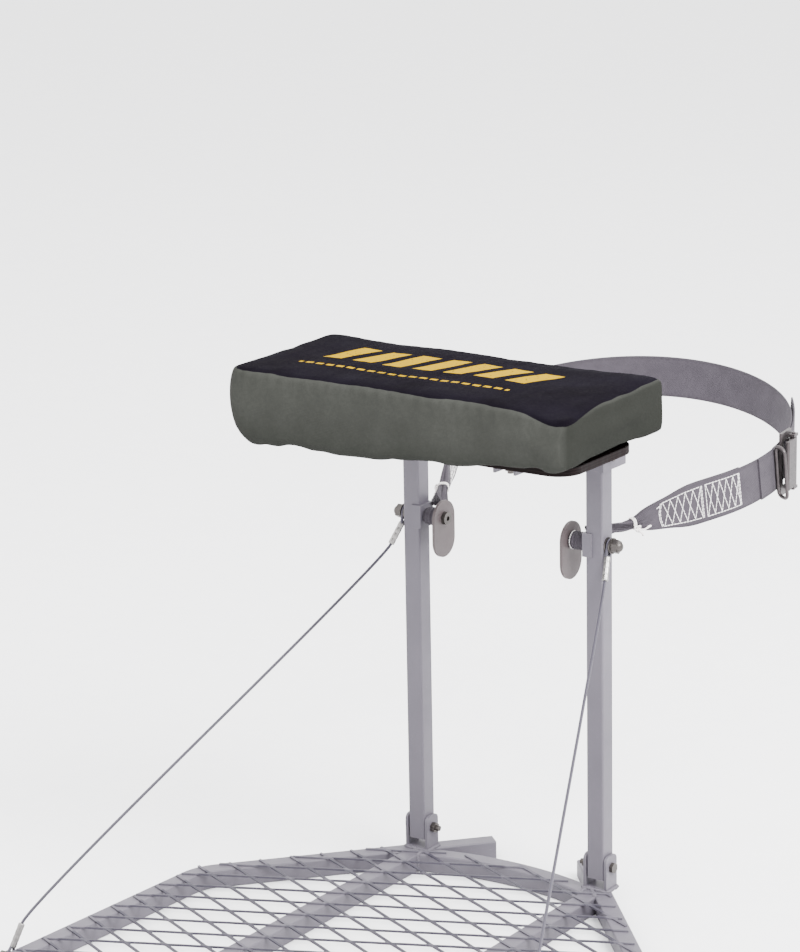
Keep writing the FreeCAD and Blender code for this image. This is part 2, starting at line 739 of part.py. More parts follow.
def make_rail_plugs():
    """Push-in plugs with a flange over the open front end of each side rail."""
    front_behind = -size("front_reach")
    front = at(rail_x(front_behind), front_behind, TUBE_Z)
    flange_thick = 3
    stem_long = 12
    turn = size("splay")
    flange = box("plug_flange", "tube", flange_thick, "tube", front + RAIL_WAY * (flange_thick / 2), turn)
    inside = "tube - 2 * wall - 0.6"
    stem = box("plug_stem", inside, stem_long, inside, front - RAIL_WAY * (stem_long / 2), turn)
    keep_both("rail_plugs", fuse("rail_plug", flange, stem))


def make_clevises():
    """An upright channel on each rear arm that holds the foot of a post."""
    body = new_body("clevis")
    drawing = new_sketch(body, "XZ_Plane", "clevis_profile")
    half, plate, top = size("clevis_wide") / 2, size("plate"), size("clevis_high")
    shoulder = 6
    add_polygon(drawing, (
        (-half, 0), (half, 0), (half, top), (half - plate, top), (half - plate, plate),
        (plate - half, plate), (plate - half, top), (-half, top)))
    pad(body, drawing, "clevis_pad", "clevis_deep", midplane=True)
    ears = [n for n, edge in enumerate(body.Shape.Edges, 1) if is_ear_corner(edge, top, plate)]
    round_edges(body, "clevis_rounding", ears, shoulder)
    hole = new_sketch(body, "YZ_Plane", "clevis_hole")
    add_pivot_circle(hole)
    pocket(body, hole, "clevis_bore")
    body.Placement = Placement(at(POST_X, 0, 0), Rotation())
    keep_pair("clevis", body)


def is_ear_corner(edge, top, plate):
    """The short edges across an ear at its top corners."""
    level = all(abs(vertex.Z - top) < 1e-6 for vertex in edge.Vertexes)
    return level and abs(edge.Length - plate) < 1e-6


def add_pivot_circle(drawing):
    height = size("pivot_height")
    number = drawing.addGeometry(Part.Circle(Vector(0, height, 0), UPWARD, 1))
    held = drawing.addConstraint(Sketcher.Constraint("Radius", number, 1))
    drawing.setExpression(f"Constraints[{held}]", formula("small_bolt / 2 + fit"))


def make_pivot_bolts():
    """Each bolt head is outside its post and the nut is inside."""
    place = at(0, 0, size("pivot_height"))
    inner = POST_X - size("clevis_wide") / 2
    outer = POST_X + size("clevis_wide") / 2
    nut = 5
    tip = inner - nut - 4
    bolt = bolt_along_x("pivot_bolt", "small_bolt", outer, tip, place, "small_hex", 4)
    keep_both("pivot_bolts", bolt)
    keep_both("pivot_nuts", hex_nut("pivot_nut", inner - nut, place, "small_bolt", "small_hex", nut))


def deck_outline():
    """The mesh sheet's outline, inside the frame and round the clevises."""
    inset = size("mesh_inset")
    lean = (TUBE / 2 - inset) / math.cos(SPLAY)
    corner_x, corner_behind = rail_corner()
    half_turn = (math.pi / 2 - ARM_ANGLE - SPLAY) / 2
    outward = half_turn + SPLAY
    reach = (TUBE / 2 - inset) / math.cos(half_turn)
    bend = (corner_x + reach * math.cos(outward), corner_behind + reach * math.sin(outward))
    front = -size("front_reach") + inset
    clear = size("clevis_deep") / 2 + 2.5
    notch_x = POST_X - size("clevis_wide") / 2 - 2.5
    arm_x = bend[0] - (-clear - bend[1]) / math.tan(ARM_ANGLE)
    right = [(rail_x(front) + lean, front), bend, (arm_x, -clear), (notch_x, -clear)]
    steps = 5
    for step in range(steps):
        x = notch_x * (1 - step / steps)
        right.append((x, crossbar_behind(x) + TUBE / 2 - inset))
    left = [(-x, y) for x, y in reversed(right)]
    rear_middle = (0, crossbar_behind(0) + TUBE / 2 - inset)
    return right + [rear_middle] + left


def flat_face(points):
    corners = [at(x, y, 0) for x, y in points]
    return Part.Face(Part.makePolygon(corners + corners[:1]))


def make_deck_mesh():
    """A sheet with staggered rows of diamond holes, each whole or clipped by the rim."""
    sheet_face = flat_face(deck_outline())
    field = sheet_face.makeOffset2D(-size("mesh_rim"))
    half_long, half_short = size("mesh_long") / 2, size("mesh_short") / 2
    inscribed = half_long * half_short / math.hypot(half_long, half_short)
    shrink = 1 - size("mesh_strand") / 2 / inscribed
    node_x, node_y = 14.6, 2.4
    columns = int(size("half_width") / half_long) + 2
    rows = int(size("front_reach") / half_short) + 2
    diamonds = []
    for row in range(-rows, 3):
        for column in range(-columns, columns):
            if (row + column) % 2 == 0:
                continue
            x, y = node_x + column * half_long, node_y + row * half_short
            wide, deep = half_long * shrink, half_short * shrink
            diamonds.append(flat_face([(x - wide, y), (x, y - deep), (x + wide, y), (x, y + deep)]))
    holes = Part.makeCompound(diamonds).common(field)
    web = sheet_face.cut(holes)
    if len(web.Faces) != 1:
        raise ValueError("the mesh fell into pieces")
    sheet_metal = web.Faces[0].extrude(UPWARD * size("mesh_thick"))
    keep("deck_mesh", solid("deck_mesh_sheet", sheet_metal))


def turned_with_rail(name, item):
    """A piece drawn along X at the anchor, turned square to the splayed rail."""
    turned = group(name, item)
    turned.Placement = Placement(Vector(), Rotation(UPWARD, size("splay")), ANCHOR)
    return turned


def make_anchors():
    face = RAIL_X + TUBE / 2
    washer_x = cable_stack(face)[1]
    nut_x = washer_x + WASHER
    bolt = button_bolt("anchor_bolt", face - TUBE, nut_x + NUT_GRIP, ANCHOR)
    inner = washer("anchor_inner_washer", face, ANCHOR)
    outer = washer("anchor_outer_washer", washer_x, ANCHOR)
    washers = group("anchor_washer_pair", inner, outer)
    nut = dome_nut("anchor_dome_nut", nut_x, ANCHOR)
    keep_both("anchor_bolts", turned_with_rail("anchor_bolt_turned", bolt))
    keep_both("anchor_washers", turned_with_rail("anchor_washers_turned", washers))
    keep_both("anchor_dome_nuts", turned_with_rail("anchor_nut_turned", nut))


# ---------- cables ----------

FERRULE_START = 12
FLAT_NECK = 9.6


def flat_way(bolt_way, way):
    """The part of a direction that lies square to a bolt."""
    flat = way - bolt_way * way.dot(bolt_way)
    flat.normalize()
    return flat


def cable_end(name, centre, bolt_way, way):
    """A loop of wire rope round a bolt, its crimped ferrule, and where the free span starts."""
    ring = doc.addObject("Part::Torus", name + "_ring")
    bind(ring, "Radius1", "loop")
    bind(ring, "Radius2", "cable / 2")
    ring.Placement = Placement(centre, Rotation(UPWARD, bolt_way))
    square = flat_way(bolt_way, way)
    elbow = centre + square * FLAT_NECK
    loop_edge = centre + square * size("loop")
    flat_neck = rod(name + "_flat_neck", "cable / 2", FLAT_NECK - size("loop"), loop_edge, square)
    neck = rod(name + "_neck", "cable / 2", FERRULE_START - FLAT_NECK, elbow, way)
    ferrule_start = elbow + way * (FERRULE_START - FLAT_NECK)
    bar = rod(name + "_bar", "ferrule / 2", "ferrule_long", ferrule_start, way)
    return fuse(name + "_loop", ring, flat_neck, neck), bar, ferrule_start + way * size("ferrule_long")


def make_cables():
    top = at(cable_stack(POST_FACE)[0], 0, size("strap_height"))
    foot = ANCHOR + ANCHOR_WAY * (cable_stack(TUBE / 2)[0])
    top_way = Vector(0.205, -0.537, -0.817)
    foot_way = Vector(-0.17, 0.42, 0.89)
    top_way.normalize()
    foot_way.normalize()
    upper_loop, upper_bar, span_top = cable_end("upper", top, OUTWARD, top_way)
    lower_loop, lower_bar, span_foot = cable_end("lower", foot, ANCHOR_WAY, foot_way)
    straight = 16
    points = [span_top, span_top + top_way * straight, span_foot + foot_way * straight, span_foot]
    keep_both("upper_cable_loops", upper_loop)
    keep_both("upper_ferrules", upper_bar)
    keep_both("lower_cable_loops", lower_loop)
    keep_both("lower_ferrules", lower_bar)
    path = rounded_path(points)
    radius = size("cable") / 2
    circle = Part.Wire(Part.Circle(points[0], points[1] - points[0], radius).toShape())
    tube = path.makePipeShell([circle], True, True)
    expected = math.pi * radius ** 2 * path.Length
    print(f"cable {path.Length:.0f} mm, volume {tube.Volume / expected:.3f} of section times length")
    keep_pair("cable", solid("cable_span", tube))


# ---------- seat ----------

def make_seat_brackets():
    """A channel over the top of each post: deep sides at the post, shallow under the board."""
    body = new_body("seat_bracket_sides")
    drawing = new_sketch(body, "YZ_Plane", "bracket_profile")
    top = size("board_bottom")
    low = size("seat_pivot") - 17
    front = -size("board_back") - size("board_deep") + 15
    rear = 31
    add_polygon(drawing, (
        (rear, low), (rear, top), (front, top), (front, top - 9),
        (-45, top - 11), (-13, low + 11), (-13, low)))
    pad(body, drawing, "bracket_pad", "bracket_wide", midplane=True)
    body.Placement = Placement(Vector(POST_X, POST_Y, 0), Rotation())
    inside_high = 80
    inside_middle = at(POST_X, (rear + front) / 2, top - size("bracket_sheet") - inside_high / 2)
    inside_wide = "bracket_wide - 2 * bracket_sheet"
    channel = box("bracket_channel", inside_wide, rear - front + 20, inside_high, inside_middle)
    stop_deep = 2.8
    stop_centre = at(POST_X, -TUBE / 2 - 0.15 - stop_deep / 2, low + 4)
    stop = box("bracket_stop", "bracket_wide - bracket_sheet", stop_deep, 8, stop_centre)
    pivot = rod("bracket_hole", "big_bolt / 2 + fit", 60, at(POST_X - 30, 0, size("seat_pivot")))
    holes = [rod("bracket_board_hole", "small_bolt / 2 + fit", 30, at(POST_X, y, top - 15), UPWARD)
             for y in board_bolt_rows()]
    shell = cut("bracket_shell", body, channel, pivot, *holes)
    keep_pair("seat_bracket", fuse("bracket_piece", shell, stop))


def board_bolt_rows():
    middle = -size("board_back") - size("board_deep") / 2
    return middle - 40, middle + 40


def make_seat_bolts():
    place = at(0, 0, size("seat_pivot"))
    inner = POST_X - size("bracket_wide") / 2
    outer = POST_X + size("bracket_wide") / 2
    nut = 7
    tip = inner - nut - 2
    keep_both("seat_bolts", bolt_along_x("seat_bolt", "big_bolt", outer, tip, place, "big_hex", 5))
    keep_both("seat_nuts", hex_nut("seat_nut", inner - nut, place, "big_bolt", "big_hex", nut))


def make_board():
    body = new_body("seat_board")
    drawing = new_sketch(body, "XY_Plane", "board_outline")
    add_rectangle(drawing, "board_wide", "board_deep")
    pad(body, drawing, "board_pad", "board_thick")
    uprights = [n for n, edge in enumerate(body.Shape.Edges, 1)
                if abs(edge.Length - size("board_thick")) < 1e-6]
    round_edges(body, "board_corners", uprights, "board_round")
    middle = -size("board_back") - size("board_deep") / 2
    body.Placement = Placement(at(0, middle, size("board_bottom")), Rotation())
    tools = []
    bottom = size("board_bottom")
    head = 2.6
    for x in (POST_X, -POST_X):
        for y in board_bolt_rows():
            tools.append(rod("board_hole", "small_bolt / 2 + fit", 30, at(x, y, bottom - 10), UPWARD))
            seat = at(x, y, bottom + size("board_thick") - head - 0.4)
            tools.append(rod("board_sink", 7.5, 10, seat, UPWARD))
    keep("seat_board", cut("board_piece", body, *tools))
    make_board_bolts(bottom + size("board_thick") - head - 0.4, head)


def make_board_bolts(head_base, head):
    """Flush-headed bolts through the board and the bracket's web, with nuts underneath."""
    bolts, nuts = [], []
    nut_top = size("board_bottom") - size("bracket_sheet")
    nut_high = 5
    tip = nut_top - nut_high - 3
    for y in board_bolt_rows():
        shank = rod("board_bolt_shank", "small_bolt / 2", head_base - tip, at(POST_X, y, tip), UPWARD)
        cap = rod("board_bolt_cap", 7, head, at(POST_X, y, head_base), UPWARD)
        bolts.append(fuse("board_bolt", shank, cap))
        nut_foot = at(POST_X, y, nut_top - nut_high)
        blank = hexagon("board_nut_blank", "small_hex", nut_high, nut_foot, UPWARD)
        bore = rod("board_nut_bore", "small_bolt / 2 + fit", 20, at(POST_X, y, nut_top - 12), UPWARD)
        nuts.append(cut("board_nut", blank, bore))
    keep_both("board_bolts", group("board_bolt_pair", *bolts))
    keep_both("board_nuts", group("board_nut_pair", *nuts))


def make_cushion():
    body = new_body("cushion")
    drawing = new_sketch(body, "XY_Plane", "cushion_outline")
    add_rectangle(drawing, "cushion_wide", "cushion_deep")
    pad(body, drawing, "cushion_pad", "cushion_thick")
    round_edges(body, "cushion_edges", range(1, len(body.Shape.Edges) + 1), "cushion_round")
    middle = -size("cushion_back") - size("cushion_deep") / 2
    bottom = size("board_bottom") + size("board_thick") + 0.3
    body.Placement = Placement(at(0, middle, bottom), Rotation())
    keep("cushion", body)


def write_parts():
    doc.recompute()
    for item in doc.Objects:
        if "Invalid" in item.State or "Error" in item.State:
            raise ValueError(f"{item.Name} ({item.Label}) failed: {item.State}")
    os.makedirs("parts", exist_ok=True)
    for item in kept:
        shape = item.Shape
        if shape.isNull() or not shape.isValid() or not shape.Solids:
            raise ValueError(f"{item.Label} has no valid solid")
        shape.exportStep(f"parts/{item.Label}.step")
        low, high = shape.BoundBox.ZMin, shape.BoundBox.ZMax
        volume = shape.Volume / 1000
        print(f"{item.Label}: {len(shape.Solids)} solid(s), {volume:.1f} cm3, z {low:.0f} to {high:.0f}")


make_posts()
make_saddles()
make_keeper_plates()
make_upper_bolts()
make_strap()
make_tie_cords()
make_buckle()
make_cross_members(make_side_rails())
make_rail_plugs()
make_clevises()
make_pivot_bolts()
make_deck_mesh()
make_anchors()
make_cables()
make_seat_brackets()
make_seat_bolts()
make_board()
make_cushion()
write_parts()
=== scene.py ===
import random
from math import acos, asin, atan2, copysign, cos, exp, hypot, pi, radians, sin, sqrt, tan

import bpy
from mathutils import Matrix, Vector, noise


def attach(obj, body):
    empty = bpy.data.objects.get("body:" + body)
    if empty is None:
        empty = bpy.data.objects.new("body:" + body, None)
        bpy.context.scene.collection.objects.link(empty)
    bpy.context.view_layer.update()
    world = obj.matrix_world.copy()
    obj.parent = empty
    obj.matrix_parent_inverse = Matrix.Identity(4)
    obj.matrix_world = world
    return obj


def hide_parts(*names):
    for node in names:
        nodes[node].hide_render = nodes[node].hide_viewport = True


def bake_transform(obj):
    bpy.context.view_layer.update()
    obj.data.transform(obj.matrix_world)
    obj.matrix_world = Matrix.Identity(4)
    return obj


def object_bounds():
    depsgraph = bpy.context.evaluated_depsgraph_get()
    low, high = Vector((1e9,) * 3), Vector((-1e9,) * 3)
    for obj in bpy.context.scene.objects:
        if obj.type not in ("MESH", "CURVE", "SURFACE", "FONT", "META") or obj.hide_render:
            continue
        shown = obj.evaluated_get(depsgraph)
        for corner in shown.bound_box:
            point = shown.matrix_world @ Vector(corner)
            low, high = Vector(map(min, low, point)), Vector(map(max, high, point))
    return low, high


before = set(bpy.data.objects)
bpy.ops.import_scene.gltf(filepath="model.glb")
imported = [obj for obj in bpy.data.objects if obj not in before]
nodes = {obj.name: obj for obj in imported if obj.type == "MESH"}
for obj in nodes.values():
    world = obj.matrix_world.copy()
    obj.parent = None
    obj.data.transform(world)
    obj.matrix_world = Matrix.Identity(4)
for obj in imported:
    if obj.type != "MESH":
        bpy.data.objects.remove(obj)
cad_low, cad_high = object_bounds()
scene = bpy.context.scene

# Metres, in the CAD's frame: the sizes that the CAD model was made with.
TUBE = 0.020
POST_X = 0.112
ARM_ANGLE = radians(48)  # how far the rear arms turn in, from the X axis
SPLAY = radians(3)  # how far the side rails spread towards the front
HORN_REACH = 0.080
POST_Y = -(HORN_REACH * sin(ARM_ANGLE) + TUBE / 2 * cos(ARM_ANGLE))
STRAP_Z = 0.372
STRAP_WIDE = 0.046
PLY = 0.002
EYE_X = 0.0893  # middle of the strap's eyes on the upper bolts
TRUNK_R = 0.180
HORN_X = POST_X - HORN_REACH * cos(ARM_ANGLE) + TUBE / 2 * sin(ARM_ANGLE)
TRUNK_Y = sqrt(TRUNK_R ** 2 - HORN_X ** 2)
RAIL_X = 0.289  # a side rail's middle line at the cable's lower bolt
ANCHOR_BEHIND = -0.458  # that bolt, from the posts' middle line
CABLE = 0.0032
MM = 0.001
UP = Vector((0, 0, 1))
RIGHT = Vector((1, 0, 0))
SIDES = ((1, "right"), (-1, "left"))


# ---------- meshes ----------

def shares(steps):
    """Even shares of a length, from 0 to 1."""
    return [step / steps for step in range(steps + 1)]


def set_all(target, **values):
    for key, value in values.items():
        setattr(target, key, value)
    return target


def linked(name, data):
    """A new object in the scene."""
    made = bpy.data.objects.new(name, data)
    scene.collection.objects.link(made)
    return made


class Shape:
    """Points, faces and a woven cloth's own coordinates, gathered before they become a mesh."""

    def __init__(self):
        self.points = []
        self.weave = []
        self.faces = []

    def loft(self, rings, weave=None, closed=False):
        """Faces between rings of equal count, capped at both ends unless the rings close."""
        base, count = len(self.points), len(rings[0])
        for number, ring in enumerate(rings):
            self.points.extend(ring)
            self.weave.extend(weave[number] if weave else [(0, 0, 0)] * count)
        for number in range(len(rings) if closed else len(rings) - 1):
            here = base + number * count
            there = base + (number + 1) % len(rings) * count
            for place in range(count):
                after = (place + 1) % count
                self.faces.append((here + place, here + after, there + after, there + place))
        if not closed:
            last = base + (len(rings) - 1) * count
            self.faces.append(tuple(range(base + count - 1, base - 1, -1)))
            self.faces.append(tuple(range(last, last + count)))

    def mesh(self, name, sharp=None):
        mesh = bpy.data.meshes.new(name)
        mesh.from_pydata([tuple(p) for p in self.points], [], self.faces)
        attribute = mesh.attributes.new("weave", "FLOAT_VECTOR", "POINT")
        attribute.data.foreach_set("vector", [value for point in self.weave for value in point])
        mesh.shade_smooth()
        if sharp:
            mesh.set_sharp_from_angle(angle=radians(sharp))
        return linked(name, mesh)


def turned_frames(points, closed=False):
    """A tangent and two normals at each point, carried along the line without twist."""
    count = len(points)
    tangents = []
    for number in range(count):
        before = points[(number - 1) % count] if closed or number else points[0]
        after = points[(number + 1) % count] if closed or number < count - 1 else points[-1]
        tangents.append((after - before).normalized())
    side = tangents[0].orthogonal().normalized()
    frames = []
    for tangent in tangents:
        side = (side - tangent * side.dot(tangent)).normalized()
        frames.append((tangent, side, tangent.cross(side)))
    return frames


def tube(shape, points, radius, sides=12, closed=False):
    """A tube along points. Its radius is a number, or a function of angle and distance."""
    measure = radius if callable(radius) else lambda angle, distance: radius
    rings, weave, distance = [], [], 0.0
    for number, (place, (_, one, two)) in enumerate(zip(points, turned_frames(points, closed))):
        if number:
            distance += (place - points[number - 1]).length
        ring, woven = [], []
        for step in range(sides):
            angle = 2 * pi * step / sides
            reach = measure(angle, distance)
            ring.append(place + (one * cos(angle) + two * sin(angle)) * reach)
            woven.append((distance, angle * reach, 0))
        rings.append(ring)
        weave.append(woven)
    shape.loft(rings, weave, closed)


def nurbs_points(controls):
    """The points along a NURBS line through a route's control points."""
    curve = set_all(bpy.data.curves.new("route", "CURVE"), dimensions="3D", resolution_u=24)
    spline = curve.splines.new("NURBS")
    spline.points.add(len(controls) - 1)
    for point, place in zip(spline.points, controls):
        point.co = (*place, 1)
    set_all(spline, order_u=3, use_endpoint_u=True)
    holder = bpy.data.objects.new("route", curve)
    line = bpy.data.meshes.new_from_object(holder)
    points = [vertex.co.copy() for vertex in line.vertices]
    bpy.data.objects.remove(holder)
    bpy.data.meshes.remove(line)
    return points


def evenly(points, step):
    """The same line with points a step apart."""
    made, spare = [points[0]], 0.0
    for first, last in zip(points, points[1:]):
        run = last - first
        place = step - spare
        while place < run.length:
            made.append(first + run * (place / run.length))
            place += step
        spare = run.length - (place - step)
    if (made[-1] - points[-1]).length > step * 0.4:
        made.append(points[-1])
    else:
        made[-1] = points[-1]
    return made


def lumps(x, y, z):
    """Smooth noise from about -1 to 1."""
    return noise.noise(Vector((x, y, z)))


def rope_lay(radius, strands, pitch, depth):
    """The radius of a laid rope: strands wound round it once a pitch."""
    def measure(angle, distance):
        swing = strands * (angle + 2 * pi * distance / pitch) / 2
        return radius * (1 - depth + depth * abs(cos(swing)))
    return measure


def finish_piece(made, body, material, replaced=None):
    """Gives a piece its material and body, and hides the CAD node that it replaces, if any."""
    made.data.materials.append(material)
    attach(made, body)
    if replaced:
        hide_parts(replaced)
    return made


# ---------- materials ----------

class Paint:
    """A Principled material with its node graph built call by call."""

    def __init__(self, name, roughness, metallic=0.0, specular=0.25):
        self.material = bpy.data.materials.new(name)
        self.material.use_nodes = True
        self.tree = self.material.node_tree
        self.shader = self.tree.nodes["Principled BSDF"]
        self.shader.inputs["Roughness"].default_value = roughness
        self.shader.inputs["Metallic"].default_value = metallic
        self.shader.inputs["Specular IOR Level"].default_value = specular

    def node(self, kind, **settings):
        return set_all(self.tree.nodes.new("ShaderNode" + kind), **settings)

    def feed(self, socket, value):
        if isinstance(value, bpy.types.NodeSocket):
            self.tree.links.new(value, socket)
        elif isinstance(value, tuple) and len(value) == 3 and socket.type == "RGBA":
            socket.default_value = (*value, 1)
        else:
            socket.default_value = value

    def place(self):
        return self.node("TexCoord").outputs["Object"]

    def woven(self):
        """A soft piece's own coordinates: along, across or round it, and a spare share."""
        return self.node("Attribute", attribute_name="weave").outputs["Vector"]

    def stretch(self, vector, x, y, z):
        made = self.node("VectorMath", operation="MULTIPLY")
        self.feed(made.inputs[0], vector)
        made.inputs[1].default_value = (x, y, z)
        return made.outputs[0]

    def split(self, vector):
        made = self.node("SeparateXYZ")
        self.feed(made.inputs[0], vector)
        return made.outputs

    def noise(self, vector, scale, detail=3.0, rough=0.55):
        made = self.node("TexNoise")
        self.feed(made.inputs["Vector"], vector)
        made.inputs["Scale"].default_value = scale
        made.inputs["Detail"].default_value = detail
        made.inputs["Roughness"].default_value = rough
        return made.outputs["Fac"]

    def sum(self, operation, first, second=0.0):
        made = self.node("Math", operation=operation)
        for socket, value in zip(made.inputs, (first, second)):
            self.feed(socket, value)
        return made.outputs[0]

    def times(self, first, second):
        return self.sum("MULTIPLY", first, second)

    def ripple(self, value, pitch):
        """A sine wave from -1 to 1, once a pitch."""
        return self.sum("SINE", self.times(value, 2 * pi / pitch))

    def spread(self, value, low, high, new_low=0.0, new_high=1.0):
        made = self.node("MapRange")
        for socket, amount in zip(made.inputs[:5], (value, low, high, new_low, new_high)):
            self.feed(socket, amount)
        return made.outputs[0]

    def mix(self, share, first, second):
        made = self.node("Mix", data_type="RGBA")
        self.feed(made.inputs[0], share)
        self.feed(made.inputs[6], first)
        self.feed(made.inputs[7], second)
        return made.outputs[2]

    def bump(self, height, depth, under=None, strength=1.0):
        made = self.node("Bump")
        made.inputs["Strength"].default_value = strength
        made.inputs["Distance"].default_value = depth
        self.feed(made.inputs["Height"], height)
        if under:
            self.feed(made.inputs["Normal"], under)
        return made.outputs[0]

    def edges(self, radius):
        """1 near sharp edges and 0 on flat faces."""
        rounded = self.node("Bevel", samples=4)
        rounded.inputs["Radius"].default_value = radius
        facing = self.node("VectorMath", operation="DOT_PRODUCT")
        self.feed(facing.inputs[0], rounded.outputs[0])
        self.feed(facing.inputs[1], self.node("NewGeometry").outputs["Normal"])
        return self.spread(facing.outputs["Value"], 0.995, 0.90)

    def done(self, color=None, roughness=None, normal=None):
        for name, value in (("Base Color", color), ("Roughness", roughness), ("Normal", normal)):
            if value is not None:
                self.feed(self.shader.inputs[name], value)
        return self.material


def tinted(color, by):
    return tuple(channel * by for channel in color)


def powder_coat(name, color, worn, unshaded_over_tubes=None):
    """Satin powder coat: orange peel, cloudy colour, rubbed edges, and, where given, a lighter colour on
    the strands over the tubes; the strands' darker base colour elsewhere is painted shade.
    """
    paint = Paint(name, 0.5)
    place = paint.place()
    clouds = paint.noise(place, 9, 5)
    specks = paint.noise(place, 420, 2)
    base = paint.mix(paint.spread(clouds, 0.3, 0.7), tinted(color, 0.9), tinted(color, 1.1))
    base = paint.mix(paint.spread(specks, 0.62, 0.74, 0, 0.35), base, tinted(color, 1.5))
    scuffs = paint.times(paint.edges(0.0012), paint.spread(paint.noise(place, 60, 6), 0.45, 0.62))
    base = paint.mix(paint.times(scuffs, 0.7), base, worn)
    # Painted shade: strands in open air keep the darker base colour, and over the tubes they take the
    # lighter one.
    if unshaded_over_tubes:
        _, _, share = paint.split(paint.woven())
        base = paint.mix(share, base, unshaded_over_tubes)
    peel = paint.bump(paint.noise(place, 700, 2), 0.00012, strength=0.35)
    rough = paint.spread(paint.noise(place, 35, 4), 0.3, 0.7, 0.42, 0.6)
    return paint.done(base, rough, peel)


def plated(name, color, roughness, grain=900):
    """Dull plated steel with a fine mottle, stains and a painted highlight along its edges."""
    paint = Paint(name, roughness, 0.85)
    place = paint.place()
    mottle = paint.noise(place, grain, 3)
    stains = paint.spread(paint.noise(place, 90, 5), 0.4, 0.7)
    base = paint.mix(mottle, tinted(color, 0.75), tinted(color, 1.25))
    base = paint.mix(paint.times(stains, 0.6), base, tinted(color, 0.45))
    # Painted highlight: the edges are painted brighter.
    base = paint.mix(paint.times(paint.edges(0.0006), 0.6), base, tinted(color, 1.9))
    rough = paint.spread(mottle, 0.3, 0.7, roughness - 0.08, roughness + 0.12)
    return paint.done(base, rough, paint.bump(mottle, 0.00005, strength=0.5))


def moulded_plastic(name, color):
    paint = Paint(name, 0.55)
    place = paint.place()
    grain = paint.noise(place, 1500, 2)
    base = paint.mix(paint.noise(place, 40, 3), tinted(color, 0.8), tinted(color, 1.3))
    rough = paint.spread(grain, 0.3, 0.7, 0.45, 0.65)
    return paint.done(base, rough, paint.bump(grain, 0.00008, strength=0.5))


def webbing_cloth(name, color):
    """Polyester webbing: ribs across, rows along, a firmer edge and faded patches; the weave is painted
    darker in its hollows and lighter on its ribs, as shade and light.
    """
    paint = Paint(name, 0.85, specular=0.12)
    weave = paint.woven()
    along, across, _ = paint.split(weave)
    row = paint.ripple(across, 0.0019)
    shift = paint.times(paint.sum("SIGN", row), pi / 2)
    rib = paint.sum("SINE", paint.sum("ADD", paint.times(along, 2 * pi / 0.0022), shift))
    height = paint.times(paint.sum("ADD", rib, 1.0), paint.sum("ABSOLUTE", row))
    edge = paint.spread(paint.sum("ABSOLUTE", across), 0.0195, 0.0215)
    worn = paint.noise(weave, 45, 5)
    # Painted shade and light: darker in the weave's hollows, lighter on its ribs.
    base = paint.mix(paint.spread(height, 0, 2), tinted(color, 0.72), tinted(color, 1.18))
    base = paint.mix(paint.spread(worn, 0.35, 0.75, 0, 0.45), base, tinted(color, 1.45))
    base = paint.mix(paint.times(edge, 0.35), base, tinted(color, 0.6))
    fibres = paint.bump(paint.noise(paint.stretch(weave, 2500, 9000, 1), 1, 3), 0.0001, strength=0.4)
    paint.shader.inputs["Sheen Weight"].default_value = 0.03
    return paint.done(base, None, paint.bump(height, 0.00022, fibres, 0.8))


def twisted_thread(name, color, pitch):
    """Thread or cord with slanted fibres in its own length and girth, with painted shade in the grooves
    between them.
    """
    paint = Paint(name, 0.75)
    along, girth, _ = paint.split(paint.woven())
    slant = paint.ripple(paint.sum("ADD", along, girth), pitch)
    # Painted shade: the grooves between the fibres are painted darker.
    base = paint.mix(paint.spread(slant, -1, 1), tinted(color, 0.72), color)
    soil = paint.spread(paint.noise(paint.place(), 130, 3), 0.5, 0.75, 0, 0.4)
    base = paint.mix(soil, base, tinted(color, 0.6))
    return paint.done(base, None, paint.bump(slant, 0.00012, strength=0.7))


def coated_cable(name, color):
    """Clear grey vinyl over laid steel wires, painted darker in the grooves and lighter on the crests, as
    shade and light.
    """
    paint = Paint(name, 0.42, 0.1)
    along, girth, _ = paint.split(paint.woven())
    wires = paint.ripple(paint.sum("ADD", along, girth), 0.00085)
    # Painted shade and light: darker in the grooves between the wires, lighter on their crests.
    base = paint.mix(paint.spread(wires, -1, 1), tinted(color, 0.7), tinted(color, 1.3))
    soil = paint.spread(paint.noise(paint.place(), 55, 4), 0.5, 0.75, 0, 0.5)
    base = paint.mix(soil, base, tinted(color, 0.55))
    paint.shader.inputs["Coat Weight"].default_value = 0.08
    paint.shader.inputs["Coat Roughness"].default_value = 0.3
    return paint.done(base, None, paint.bump(wires, 0.00004, strength=0.5))


def stained_plywood(name):
    """Dark stained plywood: long grain on the faces and plies at the edge."""
    paint = Paint(name, 0.6, specular=0.04)
    place = paint.place()
    grain = paint.noise(paint.stretch(place, 14, 260, 60), 1, 6, 0.6)
    _, _, height = paint.split(place)
    plies = paint.ripple(height, 0.0027)
    base = paint.mix(paint.spread(grain, 0.3, 0.7), (0.0012, 0.0006, 0.0007), (0.004, 0.002, 0.0022))
    _, _, facing = paint.split(paint.node("NewGeometry").outputs["Normal"])
    side = paint.spread(paint.sum("ABSOLUTE", facing), 0.7, 0.4)
    ply = paint.times(side, paint.spread(plies, 0, 1, 0, 0.5))
    base = paint.mix(ply, base, (0.012, 0.007, 0.0065))
    rough = paint.spread(grain, 0.3, 0.7, 0.4, 0.62)
    return paint.done(base, rough, paint.bump(grain, 0.0002, strength=0.5))


